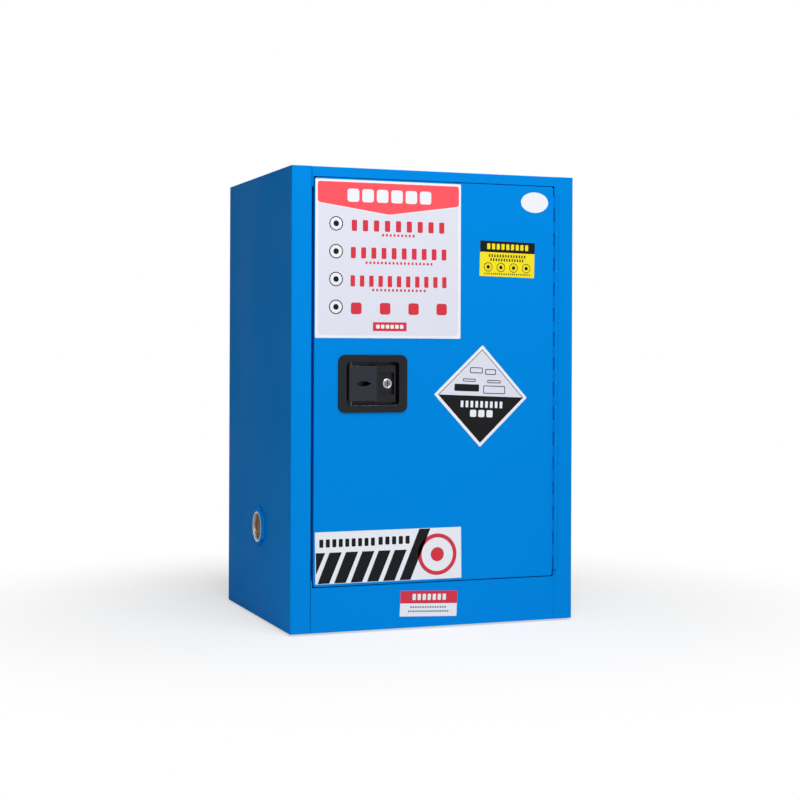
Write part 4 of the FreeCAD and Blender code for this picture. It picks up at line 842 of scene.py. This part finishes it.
def oval(middle_x, middle_z, wide, tall=None, corners=48):
    """The outline of a disc or an oval, from its half sizes."""
    tall = tall or wide
    angles = [2 * math.pi * number / corners for number in range(corners)]
    return [(middle_x + wide * math.cos(a), middle_z + tall * math.sin(a)) for a in angles]


def rings(name, middle_x, middle_z, radius, ink, ground, layer, row=None, rim=0.14, core=0.40):
    """A thin ring with a dot in it, alone or in a row on the door."""
    field = oval(middle_x, middle_z, radius * (1 - rim))
    dot = oval(middle_x, middle_z, radius * core)
    cut_vinyl(name, oval(middle_x, middle_z, radius), ink, layer=layer, row=row)
    cut_vinyl(name + "_field", field, ground, layer=layer + 1, row=row)
    cut_vinyl(name + "_dot", dot, ink, layer=layer + 2, row=row)


SHEET_X, SHEET_Z, SHEET_WIDE, SHEET_TALL = 0.0467, 0.5643, 0.2989, 0.3024
MARGIN, PANEL_TALL, PANEL_ROUND, LINE = 0.0050, 0.26, 0.010, 0.0009
HEADER_MARGIN, HEADER_SIDE, HEADER_POINT, HEADER_BEND = 0.0045, 0.0395, 0.0600, 0.10
sheet = block(SHEET_X, SHEET_Z, SHEET_WIDE, SHEET_TALL)
cut_vinyl("sheet_vinyl", sheet, white_vinyl, round_by=0.002)
panel_wide = SHEET_WIDE - 2 * MARGIN
border = block(SHEET_X + MARGIN, SHEET_Z + MARGIN, panel_wide, PANEL_TALL)
cut_vinyl("sheet_border", border, border_ink, layer=1, round_by=PANEL_ROUND)
panel = block(
    SHEET_X + MARGIN + LINE, SHEET_Z + MARGIN + LINE, panel_wide - 2 * LINE, PANEL_TALL - 2 * LINE,
)
cut_vinyl("sheet_panel", panel, panel_vinyl, layer=2, round_by=PANEL_ROUND - LINE)


def header_outline(grow):
    """The header's outline: straight slopes that meet in a soft point under the middle."""
    left = SHEET_X + HEADER_MARGIN - grow
    wide = SHEET_WIDE - 2 * HEADER_MARGIN + 2 * grow
    top = SHEET_Z + SHEET_TALL - HEADER_MARGIN + grow
    side, point = top - HEADER_SIDE - 2 * grow, top - HEADER_POINT - 2 * grow
    shoulder = side + (point - side) * 0.80
    return [
        (left, side), (left + wide * (0.5 - HEADER_BEND), shoulder), (left + wide * 0.5, point),
        (left + wide * (0.5 + HEADER_BEND), shoulder), (left + wide, side), (left + wide, top),
        (left, top),
    ]


cut_vinyl("sheet_header_edge", header_outline(0.0018), white_vinyl, layer=3, round_by=0.005)
cut_vinyl("sheet_header", header_outline(0), header_ink, layer=4, round_by=0.005)
blocks("sheet_header_row", SHEET_X + 0.0642, 0.8373, 0.172, 0.0250, 6, white_vinyl, 5, 0.80)
for number, (left, row_z, wide, tall, count, share) in enumerate((
    (0.0728, 0.7799, 0.191, 0.0215, 9, 0.48), (0.1346, 0.7626, 0.067, 0.0048, 9, 0.5),
    (0.0714, 0.7276, 0.197, 0.0215, 10, 0.48), (0.1011, 0.7090, 0.138, 0.0048, 18, 0.5),
    (0.0709, 0.6736, 0.198, 0.0215, 11, 0.48), (0.1149, 0.6568, 0.110, 0.0048, 14, 0.5),
    (0.0718, 0.6211, 0.198, 0.0225, 4, 0.37),
)):
    blocks(f"sheet_row_{number}", SHEET_X + left, row_z, wide, tall, count, red_ink, 3, share)
ring_row = (4, (0, 0.0530))
rings("sheet_ring", SHEET_X + 0.0417, 0.6235, 0.0138, black_ink, white_vinyl, 3, ring_row)
foot_block = block(SHEET_X + 0.1166, 0.5780, 0.0692, 0.0171)
cut_vinyl("sheet_foot_block", foot_block, red_ink, layer=3, round_by=0.001)
blocks("sheet_foot_row", SHEET_X + 0.1232, 0.5866, 0.0560, 0.0075, 6, white_vinyl, 4, 0.72)

# ---------------------------------------------------------------- oval badge and yellow label
# A bare white oval stands in the door's top corner. Under it is a yellow label with a black band
# across the top, two fine rows of blocks and four plain rings.
cut_vinyl("oval_badge", oval(0.5049, 0.8368, 0.0298, 0.0204, 64), white_vinyl)

yellow_vinyl = vinyl("yellow_vinyl", (0.86, 0.72, 0.02, 1))
YELLOW_X, YELLOW_Z, YELLOW_WIDE, YELLOW_TALL = 0.3866, 0.6872, 0.1183, 0.0699
YELLOW_TILT = 1.2
YELLOW_CENTRE = (YELLOW_X + YELLOW_WIDE / 2, YELLOW_Z + YELLOW_TALL / 2)
askew = {"tilt": YELLOW_TILT, "about": YELLOW_CENTRE}
label = block(YELLOW_X, YELLOW_Z, YELLOW_WIDE, YELLOW_TALL, **askew)
cut_vinyl("yellow_label", label, yellow_vinyl, round_by=0.0008)
band = block(YELLOW_X, YELLOW_Z + 0.0479, YELLOW_WIDE, 0.0220, **askew)
cut_vinyl("yellow_band", band, black_ink, layer=1)
for name, left, rise, wide, tall, count, ink, layer, share in (
    ("yellow_band_row", 0.0150, 0.0592, 0.0890, 0.0115, 9, yellow_vinyl, 2, 0.66),
    ("yellow_row_0", 0.0190, 0.0411, 0.0790, 0.0056, 14, black_ink, 1, 0.5),
    ("yellow_row_1", 0.0225, 0.0333, 0.0715, 0.0056, 13, black_ink, 1, 0.5),
):
    blocks(name, YELLOW_X + left, YELLOW_Z + rise, wide, tall, count, ink, layer, share, **askew)
ring_x, ring_z = turned((YELLOW_X + 0.0180, YELLOW_Z + 0.0184), YELLOW_TILT, YELLOW_CENTRE)
ring_step = turned((0.0275, 0), YELLOW_TILT, (0, 0))
rings("yellow_ring", ring_x, ring_z, 0.0092, black_ink, yellow_vinyl, 1, (4, ring_step))
blocks(
    "yellow_row_2", YELLOW_X + 0.0100, YELLOW_Z + 0.0055, 0.0990, 0.0030, 22, black_ink, 1, 0.5,
    **askew,
)

# ---------------------------------------------------------------- diamond
# White vinyl set on its corner, a little askew, with a thin black line inside its edge, a black
# lower half and a few plain blocks.
DIAMOND = [(0.3879, 0.3513), (0.4893, 0.4478), (0.3931, 0.5522), (0.2905, 0.4558)]
CENTRE = (sum(x for x, z in DIAMOND) / 4, sum(z for x, z in DIAMOND) / 4)
TILT = 2.0
LINE_SHARE, FIELD_SHARE = 0.916, 0.898
BLOCK_WALL = 0.0016


def shrunk(amount):
    """The diamond's outline drawn in towards its middle."""
    middle_x, middle_z = CENTRE
    return [
        (middle_x + (x - middle_x) * amount, middle_z + (z - middle_z) * amount) for x, z in DIAMOND
    ]


cut_vinyl("diamond_vinyl", DIAMOND, white_vinyl, round_by=0.002)
cut_vinyl("diamond_line", shrunk(LINE_SHARE), black_ink, layer=1)
cut_vinyl("diamond_field", shrunk(FIELD_SHARE), panel_vinyl, layer=2)
low_tip, right_tip, _, left_tip = shrunk(LINE_SHARE)
cut_vinyl("diamond_black_half", [low_tip, right_tip, left_tip], black_ink, layer=3)
for number, (x, z, wide, tall, hollow) in enumerate((
    (-0.0575, 0.0085, 0.0525, 0.0140, False), (0.0040, 0.0050, 0.0470, 0.0160, True),
    (-0.0255, 0.0445, 0.0270, 0.0115, True), (0.0070, 0.0425, 0.0230, 0.0110, True),
    (-0.0400, 0.0275, 0.0270, 0.0060, True), (0.0120, 0.0260, 0.0290, 0.0060, True),
)):
    outline = block(CENTRE[0] + x, CENTRE[1] + z, wide, tall, TILT, CENTRE)
    cut_vinyl(f"diamond_block_{number}", outline, black_ink, layer=3, round_by=0.002)
    if hollow:
        inside = block(
            CENTRE[0] + x + BLOCK_WALL, CENTRE[1] + z + BLOCK_WALL, wide - 2 * BLOCK_WALL,
            tall - 2 * BLOCK_WALL, TILT, CENTRE,
        )
        cut_vinyl(f"diamond_block_{number}_field", inside, panel_vinyl, layer=4, round_by=0.001)
for number, (left, rise, wide, tall, count, share) in enumerate((
    (-0.0430, -0.0165, 0.0893, 0.0130, 9, 0.55), (-0.0225, -0.0345, 0.0485, 0.0140, 3, 0.76),
)):
    blocks(
        f"diamond_row_{number}", CENTRE[0] + left, CENTRE[1] + rise, wide, tall, count,
        white_vinyl, 4, share, TILT, CENTRE,
    )

# ---------------------------------------------------------------- foot strip
# A white strip along the foot of the door: rows of blocks above, slanted black stripes below,
# one thick stripe the whole height of it and a plain red ring with a red dot at its right end.
STRIP = ((0.0496, 0.0963), (0.3495, 0.0959), (0.3483, 0.1957), (0.0482, 0.1953))
STRIPE_PITCH, STRIPE_LEFT, STRIPE_LEAN = 0.1105, 0.0137, 0.0821
STRIPE_FOOT, STRIPE_TOP, STRIP_TOP = 0.008, 0.60, 0.992


def on_strip(*places):
    """Points of the strip, each from its share of the way along and up."""
    (x0, z0), (x1, z1), (x2, z2), (x3, z3) = STRIP
    return [
        (
            (x0 * (1 - u) + x1 * u) * (1 - v) + (x3 * (1 - u) + x2 * u) * v,
            (z0 * (1 - u) + z1 * u) * (1 - v) + (z3 * (1 - u) + z2 * u) * v,
        )
        for u, v in places
    ]


cut_vinyl("strip_vinyl", list(STRIP), white_vinyl, round_by=0.0008)
stripe = on_strip(
    (STRIPE_LEFT, STRIPE_FOOT), (STRIPE_LEFT + 0.078, STRIPE_FOOT),
    (STRIPE_LEFT + STRIPE_LEAN + 0.082, STRIPE_TOP), (STRIPE_LEFT + STRIPE_LEAN, STRIPE_TOP),
)
(left_x, left_z), (right_x, right_z) = STRIP[:2]
stripe_step = (STRIPE_PITCH * (right_x - left_x), STRIPE_PITCH * (right_z - left_z))
cut_vinyl("strip_stripes", stripe, black_ink, layer=1, row=(5, stripe_step))
stripe_end = on_strip((0.004, 0.18), (0.0675, STRIPE_TOP), (0.004, STRIPE_TOP))
cut_vinyl("strip_stripe_end", stripe_end, black_ink, layer=1)
thick = on_strip(
    (0.568, STRIPE_FOOT), (0.643, STRIPE_FOOT), (0.785, STRIP_TOP), (0.708, STRIP_TOP),
)
cut_vinyl("strip_stripe_thick", thick, black_ink, layer=1)
blocks("strip_row_0", 0.0570, 0.1735, 0.1120, 0.0155, 9, black_ink, 1)
blocks("strip_row_1", 0.1765, 0.1745, 0.0640, 0.0155, 5, black_ink, 1)
rings("strip_ring", 0.2985, 0.1440, 0.0405, red_ink, white_vinyl, 1, rim=0.19, core=0.34)

# ---------------------------------------------------------------- rail label
# A small label on the rail below the door, put on a little askew: a red upper half with a row of
# blocks, and two fine rows below.
RAIL_TILT, RAIL_CENTRE = 2.4, (0.2809, 0.0489)
RAIL_X, RAIL_WIDE = 0.2214, 0.1190
paper_label = block(RAIL_X, 0.0240, RAIL_WIDE, 0.0497, RAIL_TILT, RAIL_CENTRE)
cut_vinyl("rail_label", paper_label, white_vinyl, "cabinet", round_by=0.001)
red_half = block(RAIL_X, 0.0492, RAIL_WIDE, 0.0245, RAIL_TILT, RAIL_CENTRE)
cut_vinyl("rail_label_red", red_half, red_ink, "cabinet", 1, 0.001)
for number, (left, row_z, wide, tall, count, ink, layer, share) in enumerate((
    (0.2465, 0.0616, 0.0700, 0.0120, 7, white_vinyl, 2, 0.66),
    (0.2430, 0.0419, 0.0740, 0.0034, 15, black_ink, 1, 0.5),
    (0.2385, 0.0339, 0.0840, 0.0034, 17, black_ink, 1, 0.5),
)):
    blocks(
        f"rail_row_{number}", left, row_z, wide, tall, count, ink, layer, share,
        RAIL_TILT, RAIL_CENTRE, "cabinet",
    )
